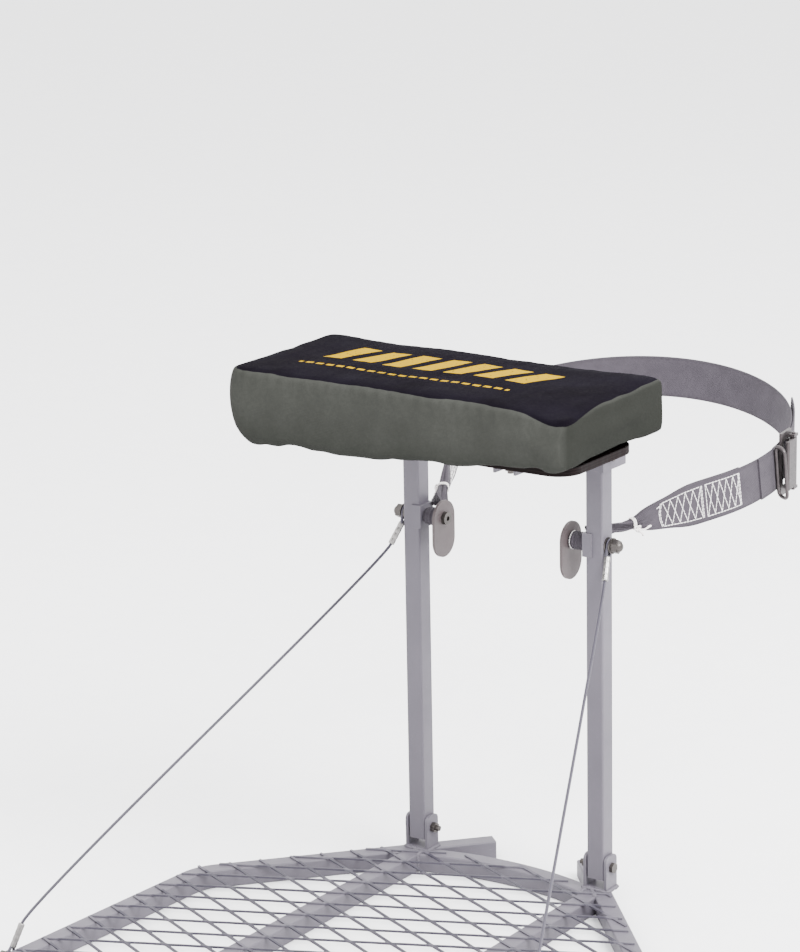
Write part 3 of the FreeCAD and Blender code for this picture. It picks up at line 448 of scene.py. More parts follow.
def printed(paint, place):
    """1 where the yellow print lies on the seat's top: slanted bars over a row of dashes."""
    x, y, _ = paint.split(place)
    lean = paint.sum("ADD", x, paint.times(y, -0.35))

    def between(value, low, high):
        return paint.times(paint.sum("GREATER_THAN", value, low), paint.sum("LESS_THAN", value, high))

    def repeated(value, pitch, share):
        return paint.sum("LESS_THAN", paint.sum("FRACT", paint.sum("DIVIDE", value, pitch)), share)

    def row(place, near, far, left, right, pitch, share):
        box = paint.times(between(y, near, far), between(place, left, right))
        return paint.times(box, repeated(place, pitch, share))

    return paint.sum("MAXIMUM", row(lean, -0.189, -0.140, -0.081, 0.174, 0.0364, 0.62),
                     row(x, -0.2215, -0.2165, -0.146, 0.104, 0.0125, 0.66))


def seat_cloth(name):
    """Coated woven cloth: a black top with a worn yellow print, and olive-grey sides with painted shade on
    the right end and towards their foot.
    """
    paint = Paint(name, 0.9, specular=0.012)
    place = paint.place()
    panel = paint.node("Attribute", attribute_name="panel").outputs["Fac"]
    x, y, z = paint.split(place)
    ribs = [paint.ripple(value, 0.0016) for value in (x, y, z)]
    threads = paint.sum("ADD", paint.times(ribs[0], ribs[1]), ribs[2])
    cloud = paint.noise(place, 22, 5)
    fine = paint.noise(place, 260, 3)
    olive = paint.mix(paint.spread(cloud, 0.3, 0.7), (0.0225, 0.0232, 0.0207), (0.0310, 0.0318, 0.0287))
    olive = paint.mix(paint.spread(fine, 0.3, 0.7, 0, 0.35), olive, (0.019, 0.020, 0.018))
    # Painted shade: the sides that face the right end are painted darker.
    right_facing_shade, _, _ = paint.split(paint.node("NewGeometry").outputs["Normal"])
    olive = paint.mix(paint.spread(right_facing_shade, 0.35, 0.9, 0, 0.75), olive, (0.009, 0.0095, 0.0082))
    # Painted shade: the sides are painted darker towards their foot.
    olive = paint.mix(paint.spread(z, 0.486, 0.532, 0.55, 0), olive, (0.0105, 0.0115, 0.0100))
    black = paint.mix(paint.spread(cloud, 0.3, 0.7), (0.0022, 0.0016, 0.0028), (0.0042, 0.0034, 0.0056))
    ink = paint.spread(paint.noise(place, 320, 4), 0.28, 0.4)
    ink = paint.times(paint.times(printed(paint, place), ink), 0.95)
    black = paint.mix(ink, black, (0.27, 0.165, 0.0002))
    base = paint.mix(paint.sum("GREATER_THAN", panel, 0.0), olive, black)
    rough = paint.spread(fine, 0.3, 0.7, 0.78, 0.94)
    return paint.done(base, rough, paint.bump(threads, 0.00005, strength=0.4))


frame_metal = powder_coat("frame_metal", (0.080, 0.073, 0.089), (0.15, 0.14, 0.15))
plate_metal = powder_coat("plate_metal", (0.058, 0.046, 0.048), (0.11, 0.095, 0.095))
# The deck strands' base colour is darkened as painted shade; the last colour, close to the frame's own
# paint, is used where they lie over the tubes.
mesh_metal = powder_coat("mesh_metal", (0.026, 0.023, 0.034), (0.07, 0.065, 0.08), (0.070, 0.064, 0.080))
plug_black = moulded_plastic("plug_black", (0.05, 0.05, 0.055))
dull_zinc = plated("dull_zinc", (0.072, 0.065, 0.062), 0.42)
buckle_steel = plated("buckle_steel", (0.062, 0.054, 0.056), 0.42, 600)
ferrule_metal = plated("ferrule_metal", (0.25, 0.24, 0.235), 0.32, 300)
webbing = webbing_cloth("webbing", (0.046, 0.040, 0.049))
white_thread = twisted_thread("white_thread", (0.86, 0.83, 0.83), 0.0012)
white_cord = twisted_thread("white_cord", (0.80, 0.76, 0.75), 0.0024)
cable_coat = coated_cable("cable_coat", (0.040, 0.036, 0.050))
plywood = stained_plywood("plywood")
cloth = seat_cloth("seat_cloth")


def both(*names):
    return [f"{name}_{label}" for name in names for _, label in SIDES]


CAD_LOOKS = {
    plate_metal: ("keeper_plates",),
    frame_metal: both("post", "side_rail", "inner_support", "clevis", "seat_bracket")
    + ["post_saddles", "front_rail", "rear_crossbar"],
    plug_black: ("rail_plugs",),
    dull_zinc: ("upper_bolts", "upper_washers", "upper_dome_nuts", "strap_bushings", "pivot_bolts",
                "pivot_nuts", "anchor_bolts", "anchor_washers", "anchor_dome_nuts", "seat_bolts",
                "seat_nuts", "board_bolts", "board_nuts"),
    buckle_steel: ("buckle_frame", "buckle_pin", "buckle_lever"),
    plywood: ("seat_board",),
}
for look, names in CAD_LOOKS.items():
    for name in names:
        for material_slot in nodes[name].material_slots:
            material_slot.material = look


# ---------- cables ----------

CABLE_LAY = rope_lay(CABLE / 2, strands=7, pitch=0.020, depth=0.07)
CABLE_SIDES = 21
SPAN = [(0.13123, -0.08668, 0.34075), (0.13451, -0.09528, 0.32766),
        (0.29461, -0.50061, 0.03822), (0.29733, -0.50734, 0.02396)]  # the right cable's route
EYE_STANDS_OFF = 0.0034  # from the steel that the eye's bolt goes through
TOP_EYE = Vector((POST_X + TUBE / 2 + EYE_STANDS_OFF, POST_Y, STRAP_Z))
ANCHOR_WAY = Vector((cos(SPLAY), sin(SPLAY), 0))
FOOT_EYE = (Vector((RAIL_X, POST_Y + ANCHOR_BEHIND, -TUBE / 2))
            + ANCHOR_WAY * (TUBE / 2 + EYE_STANDS_OFF))
TOP_WAY = Vector((0.205, -0.537, -0.817)).normalized()
FOOT_WAY = Vector((-0.17, 0.42, 0.89)).normalized()
FLAT_NECK = 0.0096  # the eye lies flat on its bolt as far as this
FERRULE_START = 0.012


def square_to(direction, bolt_way):
    """The part of a direction that is square to a bolt."""
    return (direction - bolt_way * direction.dot(bolt_way)).normalized()


def loop_points(centre, bolt_way, way):
    """A teardrop of rope: out of the ferrule, round the bolt and back beside itself."""
    ring_radius, beside, tuck = 0.0064, 0.0013, 0.002
    ahead = square_to(way, bolt_way)
    side = bolt_way.cross(ahead)
    first = acos(ring_radius / FERRULE_START)
    points = [centre + ahead * (FERRULE_START + tuck) + side * beside]
    for share in shares(40):
        angle = first + (2 * pi - 2 * first) * share
        points.append(centre + (ahead * cos(angle) + side * sin(angle)) * ring_radius)
    points.append(centre + ahead * (FERRULE_START + tuck) - side * beside)
    return evenly(points, 0.0006)


def ferrule_piece(name, start, way, body, replaced):
    """An oval sleeve swaged over two ropes, grooved between them, with soft pressed bands."""
    long, radius = 0.026, 0.0032
    bands = (0.0065, 0.013, 0.0195)

    def girth(distance):
        end = min(distance, long - distance)
        rounding = sqrt(max(0.0, 1 - (1 - min(1.0, end / 0.0012)) ** 2))
        pressed = sum(exp(-((distance - band) / 0.0013) ** 2) for band in bands)
        return radius * (0.72 + 0.28 * rounding) - 0.00022 * pressed

    def waist(angle):
        return 1.04 - 0.20 * exp(-(cos(angle) / 0.34) ** 2)

    points = [start + way * (long * share) for share in shares(78)]
    shape = Shape()
    tube(shape, points, lambda angle, distance: girth(distance) * waist(angle), 28)
    return finish_piece(shape.mesh(name), body, ferrule_metal, replaced)


def flipped(vector, side):
    """The same place or direction on the right (1) or the left (-1)."""
    return Vector((vector.x * side, vector.y, vector.z))


def rope_loops(name, replaced, centre, bolt_way, way, body):
    shape = Shape()
    for side in (1, -1):
        points = loop_points(flipped(centre, side), flipped(bolt_way, side) * side, flipped(way, side))
        tube(shape, points, CABLE_LAY, CABLE_SIDES)
    finish_piece(shape.mesh(name), body, cable_coat, replaced)


def ferrule_pair(name, replaced, centre, bolt_way, way, body):
    """Both sides' ferrules. The right one stands for the CAD node that holds both."""
    start = centre + square_to(way, bolt_way) * FLAT_NECK + way * (FERRULE_START - FLAT_NECK)
    return [ferrule_piece(f"{name}_{label}", flipped(start, side), flipped(way, side), body,
                          replaced if side > 0 else None) for side, label in SIDES]


def make_cables():
    upper, lower = (TOP_EYE, RIGHT, TOP_WAY, "uprights"), (FOOT_EYE, ANCHOR_WAY, FOOT_WAY, "platform")
    rope_loops("upper_rope_loops", "upper_cable_loops", *upper)
    rope_loops("lower_rope_loops", "lower_cable_loops", *lower)
    upper_ferrules = ferrule_pair("upper_swage", "upper_ferrules", *upper)
    lower_ferrules = ferrule_pair("lower_swage", "lower_ferrules", *lower)
    for number, (side, label) in enumerate(SIDES):
        controls = [flipped(Vector(point), side) for point in SPAN]
        line = nurbs_points(controls)
        shape = Shape()
        tube(shape, evenly(line, 0.0015), CABLE_LAY, CABLE_SIDES)
        cable = shape.mesh("stay_cable_" + label)
        cable.data.materials.append(cable_coat)
        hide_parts("cable_" + label)
        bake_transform(cable)


# ---------- trunk strap ----------

MIDDLE_R = TRUNK_R + PLY / 2
CLIMB_BACK, CLIMB_LEFT = 0.16, 0.05  # how steeply the strap rises


def strap_level(x, y):
    return STRAP_Z + CLIMB_BACK * (y - POST_Y) + CLIMB_LEFT * (EYE_X - x)


def lead_heading():
    """The compass angle of the right lead, and its length to where it meets the trunk."""
    reach = TRUNK_Y - POST_Y
    away = hypot(EYE_X, reach)
    heading = atan2(reach, -EYE_X) - asin(MIDDLE_R / away)
    return heading, sqrt(away ** 2 - MIDDLE_R ** 2)


HEADING, LEAD_RUN = lead_heading()


def lead_line(side):
    """Where a lead leaves its bolt and where it meets the trunk."""
    start = Vector((side * EYE_X, POST_Y, STRAP_Z))
    finish = start + Vector((side * cos(HEADING), sin(HEADING), 0)) * LEAD_RUN
    finish.z = strap_level(finish.x, finish.y)
    return start, finish


def trunk_place(angle):
    """The strap's middle, its way on, its outward side and its rise at an angle round the trunk."""
    outward = Vector((cos(angle), sin(angle), 0))
    base = Vector((0, TRUNK_Y, 0)) + outward * MIDDLE_R
    base.z = strap_level(base.x, base.y)
    onward = Vector((-sin(angle), cos(angle), 0))
    onward.z = CLIMB_BACK * onward.y - CLIMB_LEFT * onward.x
    onward.normalize()
    return base, onward, outward, outward.cross(onward).normalized()


def strap_place(side, along):
    """The same, at a length from the bolt along one lead and on round the trunk."""
    start, finish = lead_line(side)
    run = finish - start
    if along < run.length:
        way = run.normalized()
        outward = way.cross(UP).normalized() * side
        rise = outward.cross(way).normalized() * side
        return start + way * along, way, outward, rise
    turn = HEADING - pi / 2 + (along - run.length) / MIDDLE_R
    if side > 0:
        return trunk_place(turn)
    base, onward, outward, rise = trunk_place(pi - turn)
    return base, -onward, outward, rise


def on_strap(side, along, up, out):
    """A place on a lead: along it, up from its middle line and out from the trunk."""
    base, _, outward, rise = strap_place(side, along)
    return base + outward * out + rise * up


def eased(value, table):
    """The amount at a place, in straight lines between a table's (place, amount) rows."""
    if value <= table[0][0]:
        return table[0][1]
    for (low, first), (high, last) in zip(table, table[1:]):
        if value <= high:
            share = (value - low) / (high - low)
            return first + (last - first) * share
    return table[-1][1]


def softened(value, table, reach=0.006):
    """The same with its corners rounded, as the mean over a short reach."""
    amounts = [eased(value + reach * (2 * share - 1), table) for share in shares(6)]
    return sum(amounts) / len(amounts)


def web_ring(centre, rise, out, wide, thick, pleat=0.0, phase=0.0):
    """A webbing section with rounded edges and any pleats, and its woven coordinates."""
    radius = thick / 2
    half = wide / 2 - radius
    places = []
    for face, late in ((1, 0.0), (-1, 0.9)):
        for share in shares(18):
            across = face * (2 * share - 1)
            fold = pleat * cos(3.5 * pi * across + phase + late)
            places.append((across * half, face * (radius + fold), across))
        for turn in (radians(60), 0.0, radians(-60)):
            places.append((face * (half + radius * cos(turn)), face * radius * sin(turn), face))
    ring = [centre + rise * high + out * deep for high, deep, _ in places]
    return ring, [share * STRAP_WIDE / 2 for _, _, share in places]


def webbing_run(shape, stations):
    """Webbing through (centre, rise, out, wide, thick, pleat, phase) stations."""
    rings, weave, distance = [], [], 0.0
    for number, station in enumerate(stations):
        if number:
            distance += (station[0] - stations[number - 1][0]).length
        ring, across = web_ring(*station)
        rings.append(ring)
        weave.append([(distance, share, 0) for share in across])
    shape.loft(rings, weave)


# The leads' width, thickness and pleats, by how far along from the bolt.
WIDTHS = [(0.060, 0.0095), (0.068, 0.0105), (0.074, 0.0185), (0.082, 0.0245), (0.092, 0.0285),
          (0.104, 0.0325), (0.116, 0.0375), (0.126, 0.0425), (0.137, 0.0455), (0.145, STRAP_WIDE)]
THICKS = [(0.060, 0.0045), (0.070, 0.0042), (0.085, 0.0030), (0.110, 0.0022), (0.130, PLY)]
PLEATS = [(0.058, 0.00075), (0.070, 0.0007), (0.084, 0.0004), (0.100, 0.00012), (0.115, 0)]
EYE_SHIFT = 0.0022  # how far the gathered legs lean to the middle of the stand
TIE_END, FLAT_FROM = 0.060, 0.15  # the leads leave the tie, and their plies lie flat


def ply_stations(side, first, last, out):
    """One ply of a lead from a place beyond the tie to another."""
    stations = []
    for share in shares(max(4, int((last - first) / 0.0025))):
        along = first + (last - first) * share
        base, _, outward, rise = strap_place(side, along)
        thick = softened(along, THICKS)
        shift = copysign(thick / 2 + 0.00005, out) if along < FLAT_FROM else out
        stations.append((base + outward * shift, rise, outward, softened(along, WIDTHS), thick,
                         softened(along, PLEATS), copysign(0.4, out)))
    return stations


def neck_stations(side, leg):
    """One gathered leg from the tie to the sleeve, where the two legs close round the bolt."""
    start, way, outward, rise = strap_place(side, 0)
    stations = []
    last, near, apart = 0.013, 0.0023, 0.0063
    for share in shares(16):
        along = TIE_END + (last - TIE_END) * share
        turn = leg * share * pi / 2
        offset_way = outward * (leg * cos(turn)) + rise * sin(turn)
        wide_way = rise * cos(turn) - outward * sin(turn)
        offset = near + apart * share
        centre = start + way * along + offset_way * offset - RIGHT * (side * EYE_SHIFT * share)
        stations.append((centre, wide_way, offset_way, 0.0095 + 0.0035 * share, 0.0045 + 0.0006 * share,
                         0.0007, 0.4 * leg))
    return stations


def eye_stations(side):
    """The gathered webbing round the sleeve, from the upper leg's side to the lower."""
    centre = Vector((side * EYE_X, POST_Y, STRAP_Z))
    stations = []
    for share in shares(26):
        angle = radians(62 + 236 * share)
        out = Vector((0, cos(angle), sin(angle)))
        flare = 1 - abs(2 * share - 1) ** 4
        shift = RIGHT * (-side * EYE_SHIFT * (1 - flare))
        stations.append((centre + out * 0.0078 + shift, RIGHT, out, 0.0135 + 0.0045 * flare, 0.0031,
                         0.0004, 0.3))
    return stations


FRONT_PLY = 0.00105  # the outer ply's middle, from the strap's middle line
THIRD_PLY = 0.00315
TWO_PLY_END = 0.203
BUCKLE_ANGLE = radians(8)
BUCKLE_SWEEP = radians(5.5)  # from the buckle's middle to either end
LEAD_LONG = (lead_line(1)[1] - lead_line(1)[0]).length
BUCKLE_ALONG = LEAD_LONG + (BUCKLE_ANGLE - HEADING + pi / 2) * MIDDLE_R


def arc_stations(first, last, out, lift=0.0):
    """Webbing round the trunk between two angles, whose far end may stand off."""
    stations = []
    for share in shares(max(8, int(abs(last - first) * MIDDLE_R / 0.004))):
        base, _, outward, rise = trunk_place(first + (last - first) * share)
        loose = lift * max(0.0, share - 0.35) ** 2 / 0.65 ** 2
        stations.append((base + outward * (out + loose), rise, outward, STRAP_WIDE, PLY, 0.0, 0.0))
    return stations


def webbing_piece(name, replaced, *runs):
    shape = Shape()
    for stations in runs:
        webbing_run(shape, stations)
    finish_piece(shape.mesh(name, 50), "uprights", webbing, replaced)


def make_straps():
    buckle_end = BUCKLE_ALONG - BUCKLE_SWEEP * MIDDLE_R
    for side, label in SIDES:
        webbing_piece("strap_neck_" + label, "strap_eye_" + label, eye_stations(side),
                      neck_stations(side, 1), neck_stations(side, -1))
    seam_along = LEAD_LONG + (radians(-8) - HEADING + pi / 2) * MIDDLE_R
    webbing_piece("strap_webbing_right", "strap_lead_right",
                  ply_stations(1, TIE_END, buckle_end, FRONT_PLY),
                  ply_stations(1, TIE_END, TWO_PLY_END, -FRONT_PLY),
                  ply_stations(1, seam_along, buckle_end, THIRD_PLY))
    webbing_piece("strap_webbing_left", "strap_lead_left",
                  ply_stations(-1, TIE_END, TWO_PLY_END, FRONT_PLY),
                  ply_stations(-1, TIE_END, LEAD_LONG, -FRONT_PLY))
    touch = HEADING - pi / 2
    webbing_piece("strap_webbing_band", "strap_band",
                  arc_stations(BUCKLE_ANGLE - BUCKLE_SWEEP + 0.003, pi - touch - 0.004, 0.0))
    webbing_piece("strap_webbing_tail", "strap_tail",
                  arc_stations(BUCKLE_ANGLE + BUCKLE_SWEEP + 0.01, BUCKLE_ANGLE + radians(38),
                               0.0026, 0.006))


def make_buckle_ring():
    """A bent rod loop that the webbing folds round, standing on edge before the buckle."""
    base, onward, outward, rise = trunk_place(BUCKLE_ANGLE - radians(7.0))
    high, deep, corner = 0.0285, 0.0165, 0.006
    lean = (outward * cos(0.5) - onward * sin(0.5)).normalized()
    points = []
    for far, upper, start in ((1, -1, -90), (1, 1, 0), (0, 1, 90), (0, -1, 180)):
        middle = base + outward * 0.0062 + lean * (corner + far * (deep - 2 * corner))
        middle += rise * (upper * (high - corner))
        for step in range(7):
            turn = radians(start + 90 * step / 6)
            points.append(middle + (lean * cos(turn) + rise * sin(turn)) * corner)
    line = evenly(points + points[:1], 0.001)
    shape = Shape()
    tube(shape, line[:-1], 0.0019, 14, closed=True)
    finish_piece(shape.mesh("buckle_ring"), "uprights", buckle_steel)


# ---------- stitches and ties ----------

THREAD = 0.00043
PANELS = ((0.101, 0.150), (0.156, 0.200))  # the sewn stretches of a lead


def strap_face(along):
    """How far a lead's outer face is from its middle line."""
    return softened(along, THICKS) + 0.0001 if along < FLAT_FROM else FRONT_PLY + PLY / 2


def stitch_line(shape, side, corners, long=0.0034, gap=0.0007, face=1):
    """Stitches along (along, up) corners on a lead's outer (1) or inner (-1) face."""
    fine = 0.0002
    places = evenly([Vector((along, up, 0)) for along, up in corners], fine)
    every, used = round((long + gap) / fine), round(long / fine)
    for first in range(0, len(places) - used // 2, every):
        run = places[first:first + used + 1]
        points = []
        for step in range(7):
            place = run[round(step * (len(run) - 1) / 6)]
            arch = sin(pi * step / 6) ** 0.6
            out = strap_face(place.x) + THREAD * (arch - 0.75)
            points.append(on_strap(side, place.x, place.y, face * out))
        tube(shape, points, THREAD, 7)


def zigzag_half(along):
    """How far the zigzags reach from a lead's middle line."""
    return eased(along, [(0.102, 0.0118), (0.130, 0.0152), (0.156, 0.0165)])


def zigzag(shape, side, first, last, phase, face):
    corners = []
    for number, share in enumerate(shares(5)):
        along = first + (last - first) * share
        corners.append((along, zigzag_half(along) * (1 if (number + phase) % 2 else -1)))
    stitch_line(shape, side, corners, face=face)


def panel_stitches(shape, side, face):
    """Both sewn panels of one lead: crossing zigzags, a line along each edge and lines across."""
    for first, last in PANELS:
        for phase in (0, 1):
            zigzag(shape, side, first + 0.001, last, phase, face)
        for edge in (1, -1):
            places = [first + (last - first) * share for share in shares(12)]
            line = [(along, edge * (zigzag_half(along) + 0.0009)) for along in places]
            stitch_line(shape, side, line, face=face)
    for along in (0.150, 0.1515, 0.156, 0.1985, 0.200):
        high = zigzag_half(along) + 0.0012
        stitch_line(shape, side, [(along, high), (along, -high)], face=face)


def make_stitches():
    for side, label in SIDES:
        shape = Shape()
        for face in (1, -1):
            panel_stitches(shape, side, face)
        for shift in (0, 0.0016):  # two bowed rows where the gathers start
            bow = [2 * share - 1 for share in shares(8)]
            stitch_line(shape, side, [(0.1005 - shift - 0.0028 * (1 - place ** 2), 0.0125 * place)
                                      for place in bow])
        stitch_line(shape, side, [(0.0935, 0.0085), (0.0965, 0.0098), (0.100, 0.0108)], 0.0046, 0.0004)
        sleeve = Vector((side * (EYE_X - 0.0070), POST_Y, STRAP_Z))
        for number in range(13):  # short stitches round the eye
            turns = [radians(80 + 16 * number + 2.4 * k) for k in range(6)]
            tube(shape, [sleeve + Vector((0, cos(turn), sin(turn))) * 0.0094 for turn in turns],
                 THREAD, 7)
        finish_piece(shape.mesh("strap_stitches_" + label), "uprights", white_thread)


def make_ties():
    """A cord wound round each gathered neck, knotted in front, with two short tails."""
    shape = Shape()
    thick, turns, neck = 0.0009, 2.1, 0.0047
    for side in (1, -1):
        start, way, outward, rise = strap_place(side, 0)

        def place(angle, along, spare=0.0):
            square = (abs(cos(angle)) ** 3 + abs(sin(angle)) ** 3) ** (1 / 3)
            reach = (neck + thick + spare) / square
            return start + way * along + (outward * cos(angle) + rise * sin(angle)) * reach

        winding = [place(-0.9 + 2 * pi * turns * share, 0.0632 + 0.0042 * share) for share in shares(110)]
        tube(shape, winding, thick, 10)
        centre = place(-0.55, 0.066, 0.0016)
        knot = []
        for step in range(48):
            turn = 2 * pi * step / 48
            knot.append(centre + way * (0.0013 * (sin(turn) + 2 * sin(2 * turn)))
                        + rise * (0.0012 * (cos(turn) - 2 * cos(2 * turn)))
                        + outward * (0.0008 * -sin(3 * turn) + 0.0004))
        tube(shape, knot, thick, 10, closed=True)
        for onward, fall in ((0.0145, 0.002), (0.0040, 0.0095)):
            tail = []
            for share in shares(12):
                drop = fall * share ** 1.3 + 0.0015 * sin(5 * share)
                tail.append(centre + way * (onward * share) - rise * drop
                            + outward * (0.0035 * sin(2.4 * share)))
            tube(shape, tail, lambda angle, distance: thick * (1.0 if distance < 0.010 else 1.25), 10)
    finish_piece(shape.mesh("strap_tie_cords"), "uprights", white_cord, "tie_cords")


# ---------- deck mesh ----------

FRONT_REACH = 0.690  # the platform's front face, from the posts' middle line
MESH_INSET = 0.004
MESH_LEVEL = 0.0008
CELL_LONG, CELL_SHORT = 0.0381, 0.01746  # half a diamond's length and depth
STRAND_WIDE, STRAND_THICK = 0.0028, 0.0021
STRAND_TILT, STRAND_ARCH = radians(12), 0.0002


def rail_x(behind):
    """A side rail's middle line at a distance behind the posts' middle line."""
    return RAIL_X - (behind - ANCHOR_BEHIND) * tan(SPLAY)


def crossbar_behind(x):
    """The bowed rear crossbar's middle line."""
    return 0.004 - 0.017 * (x / (POST_X - TUBE / 2)) ** 2


def deck_outline():
    """The mesh's outline (x, behind the posts): the CAD mesh's, but with a bowed rear edge."""
    reach = TUBE / 2 - MESH_INSET
    front = -FRONT_REACH + MESH_INSET
    half_turn = (pi / 2 - ARM_ANGLE - SPLAY) / 2
    slope_arm, slope_rail = tan(ARM_ANGLE), tan(SPLAY)
    corner_x = (RAIL_X + slope_rail * (ANCHOR_BEHIND - slope_arm * POST_X)) / (1 - slope_rail * slope_arm)
    corner = (corner_x, -(corner_x - POST_X) * slope_arm)
    away = reach / cos(half_turn)
    bend = (corner[0] + away * cos(half_turn + SPLAY), corner[1] + away * sin(half_turn + SPLAY))
    clear, notch = 0.013, 0.0955
    arm_x = bend[0] - (-clear - bend[1]) / slope_arm
    right = [(rail_x(front) + reach / cos(SPLAY), front), bend, (arm_x, -clear), (notch, -clear)]
    rear = 0.001
    right += [(notch * (1 - k / 5), crossbar_behind(notch * (1 - k / 5)) + rear) for k in range(5)]
    return right + [(0, crossbar_behind(0) + rear)] + [(-x, y) for x, y in reversed(right)]


def inside(outline, x, y):
    """True where a place is within the outline: it crosses an odd number of edges."""
    odd = False
    for (ax, ay), (bx, by) in zip(outline, outline[1:] + outline[:1]):
        if (ay > y) != (by > y) and x < ax + (y - ay) / (by - ay) * (bx - ax):
            odd = not odd
    return odd


def on_tube(place):
    """1 where a place on the deck is over one of the platform's tubes."""
    x, behind, half = abs(place.x), place.y - POST_Y, TUBE / 2
    from_arm = abs((x - POST_X) * sin(ARM_ANGLE) + behind * cos(ARM_ANGLE))
    over = abs(x - POST_X) < half or x > rail_x(behind) - half or behind < -FRONT_REACH + TUBE
    over = over or from_arm < half or (x < POST_X and abs(behind - crossbar_behind(x)) < half)
    return 1.0 if over else 0.0


def strand(shape, first, last):
    """A flat bar between two places, rounded, tilted about its own line and a little arched."""
    way = (last - first).normalized()
    side = way.cross(UP).normalized()
    across = side * cos(STRAND_TILT) + UP * sin(STRAND_TILT)
    up = -side * sin(STRAND_TILT) + UP * cos(STRAND_TILT)
    corners = ((1, 0.55), (0.8, 1), (-0.8, 1), (-1, 0.55), (-1, -0.55), (-0.8, -1), (0.8, -1), (1, -0.55))
    rings, weave = [], []
    for share in shares(10):
        centre = first.lerp(last, share) + UP * (STRAND_ARCH * sin(pi * share))
        rings.append([centre + across * (STRAND_WIDE / 2 * a) + up * (STRAND_THICK / 2 * b)
                      for a, b in corners])
        weave.append([(0, 0, on_tube(centre))] * len(corners))
    shape.loft(rings, weave)


def knuckle(shape, centre):
    """The wider joint where two strands part, cut in one with them."""
    half = ((2, 2.7, 1.25), (5, 2.0, 1.0), (7, 0.9, 0.7))
    sections = [(-place, wide, thick) for place, wide, thick in reversed(half)] + list(half)
    turns = [2 * pi * step / 10 for step in range(10)]
    rings = [[centre + Vector((place, cos(turn) * wide, sin(turn) * thick)) * MM for turn in turns]
             for place, wide, thick in sections]
    shape.loft(rings, [[(0, 0, on_tube(centre))] * len(turns)] * len(rings))


def make_deck_mesh():
    outline = deck_outline()
    chance = random.Random(7)
    shape = Shape()
    shift = Vector((0, POST_Y, MESH_LEVEL))
    fine = 84
    for row in range(-42, 3):
        for col in range(-10, 10):
            if (row + col) % 2:
                continue
            start = Vector((0.0146 + CELL_LONG * col, 0.0024 + CELL_SHORT * row, 0))
            if all(inside(outline, start.x + reach, start.y) for reach in (0, -0.007, 0.007)):
                knuckle(shape, start + shift)
            for way in (1, -1):
                finish = start + Vector((CELL_LONG * way, CELL_SHORT, 0))
                within = [k for k in range(fine + 1) if inside(outline, *start.lerp(finish, k / fine).xy)]
                if len(within) < 4:
                    continue
                wander = Vector((0, chance.uniform(-0.0003, 0.0003), 0))
                first, last = (start.lerp(finish, within[end] / fine) + shift + wander for end in (0, -1))
                strand(shape, first, last)
    finish_piece(shape.mesh("deck_strands", 40), "platform", mesh_metal, "deck_mesh")


# ---------- welds ----------

def weld(shape, points, radius=0.0021):
    """A rippled bead along a joint."""
    line = evenly(points, 0.0005)

    def girth(angle, distance):
        wave = 0.16 * cos(2 * pi * distance / 0.0019)
        lump = 0.30 * lumps(distance * 260, angle * 0.6, radius * 900)
        return radius * (0.92 + wave + lump)

    tube(shape, line, girth, 12)


def make_welds():
    shape = Shape()
    for side in (1, -1):
        def at(x, behind, z):
            return Vector((side * x, POST_Y + behind, z))

        # round the foot of the clevis
        for behind in (-0.0108, 0.0108):
            weld(shape, [at(0.098, behind, 0.0004), at(0.126, behind, 0.0004)], 0.0024)
        for x in (0.0977, 0.1263):
            weld(shape, [at(x, -0.0105, 0.0004), at(x, 0.0105, 0.0004)], 0.0022)
        # the crossbar's end
        end = POST_X - TUBE / 2
        behind = crossbar_behind(end)
        weld(shape, [at(end, behind + 0.009, -0.0002), at(end, behind - 0.0092, -0.0002),
                     at(end, behind - 0.0103, -0.001), at(end, behind - 0.0103, -0.019)])
        # both ends of the inner support, and the front rail's end
        inner = rail_x(-FRONT_REACH + TUBE / 2) - TUBE / 2
        for x_one, behind_one, x_two, behind_two in (
                (0.1025, -0.0044, 0.1215, -0.0255),
                (0.1025, -FRONT_REACH + TUBE, 0.1215, -FRONT_REACH + TUBE),
                (inner, -FRONT_REACH + 0.019, inner, -FRONT_REACH + 0.001)):
            weld(shape, [at(x_one, behind_one, -0.0003), at(x_two, behind_two, -0.0003)])
    finish_piece(shape.mesh("weld_beads"), "platform", frame_metal)


# ---------- cushion ----------

SEAT_TOP, SEAT_BASE = 0.5598, 0.5023
SEAT_HALF_X = 0.2065
SEAT_BACK, SEAT_FRONT = -0.0871, -0.2756
BOARD_HALF_X, BOARD_FRONT, BOARD_BACK = 0.193, -0.2561, -0.1241
VOXEL = 0.005
LEFT_CORNER = 0.034  # how far the left front corner is rounded
SQUARENESS = 26  # of the seat's outline, as a superellipse


def cushion_start():
    """A closed form a little smaller than the finished seat, upright at the sides."""
    middle = Vector((0, (SEAT_BACK + SEAT_FRONT) / 2, 0))
    half_x, half_y = SEAT_HALF_X - 0.004, (SEAT_BACK - SEAT_FRONT) / 2 - 0.004
    shape = Shape()
    rings, steps = [], 160
    profile = ((0.0, 0.030), (0.0, 0.0015), (0.05, 0.0), (0.4, -0.0003), (0.75, 0.0), (0.9, 0.0005),
               (0.97, 0.0016), (1.0, 0.0036), (1.0, 0.020), (1.0, 0.045))
    for height, inset in profile:
        ring = []
        z = SEAT_BASE + 0.0005 + height * (SEAT_TOP - SEAT_BASE - 0.0055)
        for step in range(steps):
            angle = 2 * pi * step / steps
            east, north = cos(angle), sin(angle)
            square = (abs(east) ** SQUARENESS + abs(north) ** SQUARENESS) ** (-1 / SQUARENESS)
            x, y = east * square * (half_x - inset), north * square * (half_y - inset)
            ring.append(middle + Vector((x, y, z)))
        rings.append(ring)
    shape.loft(rings)
    return shape.mesh("cushion_start")


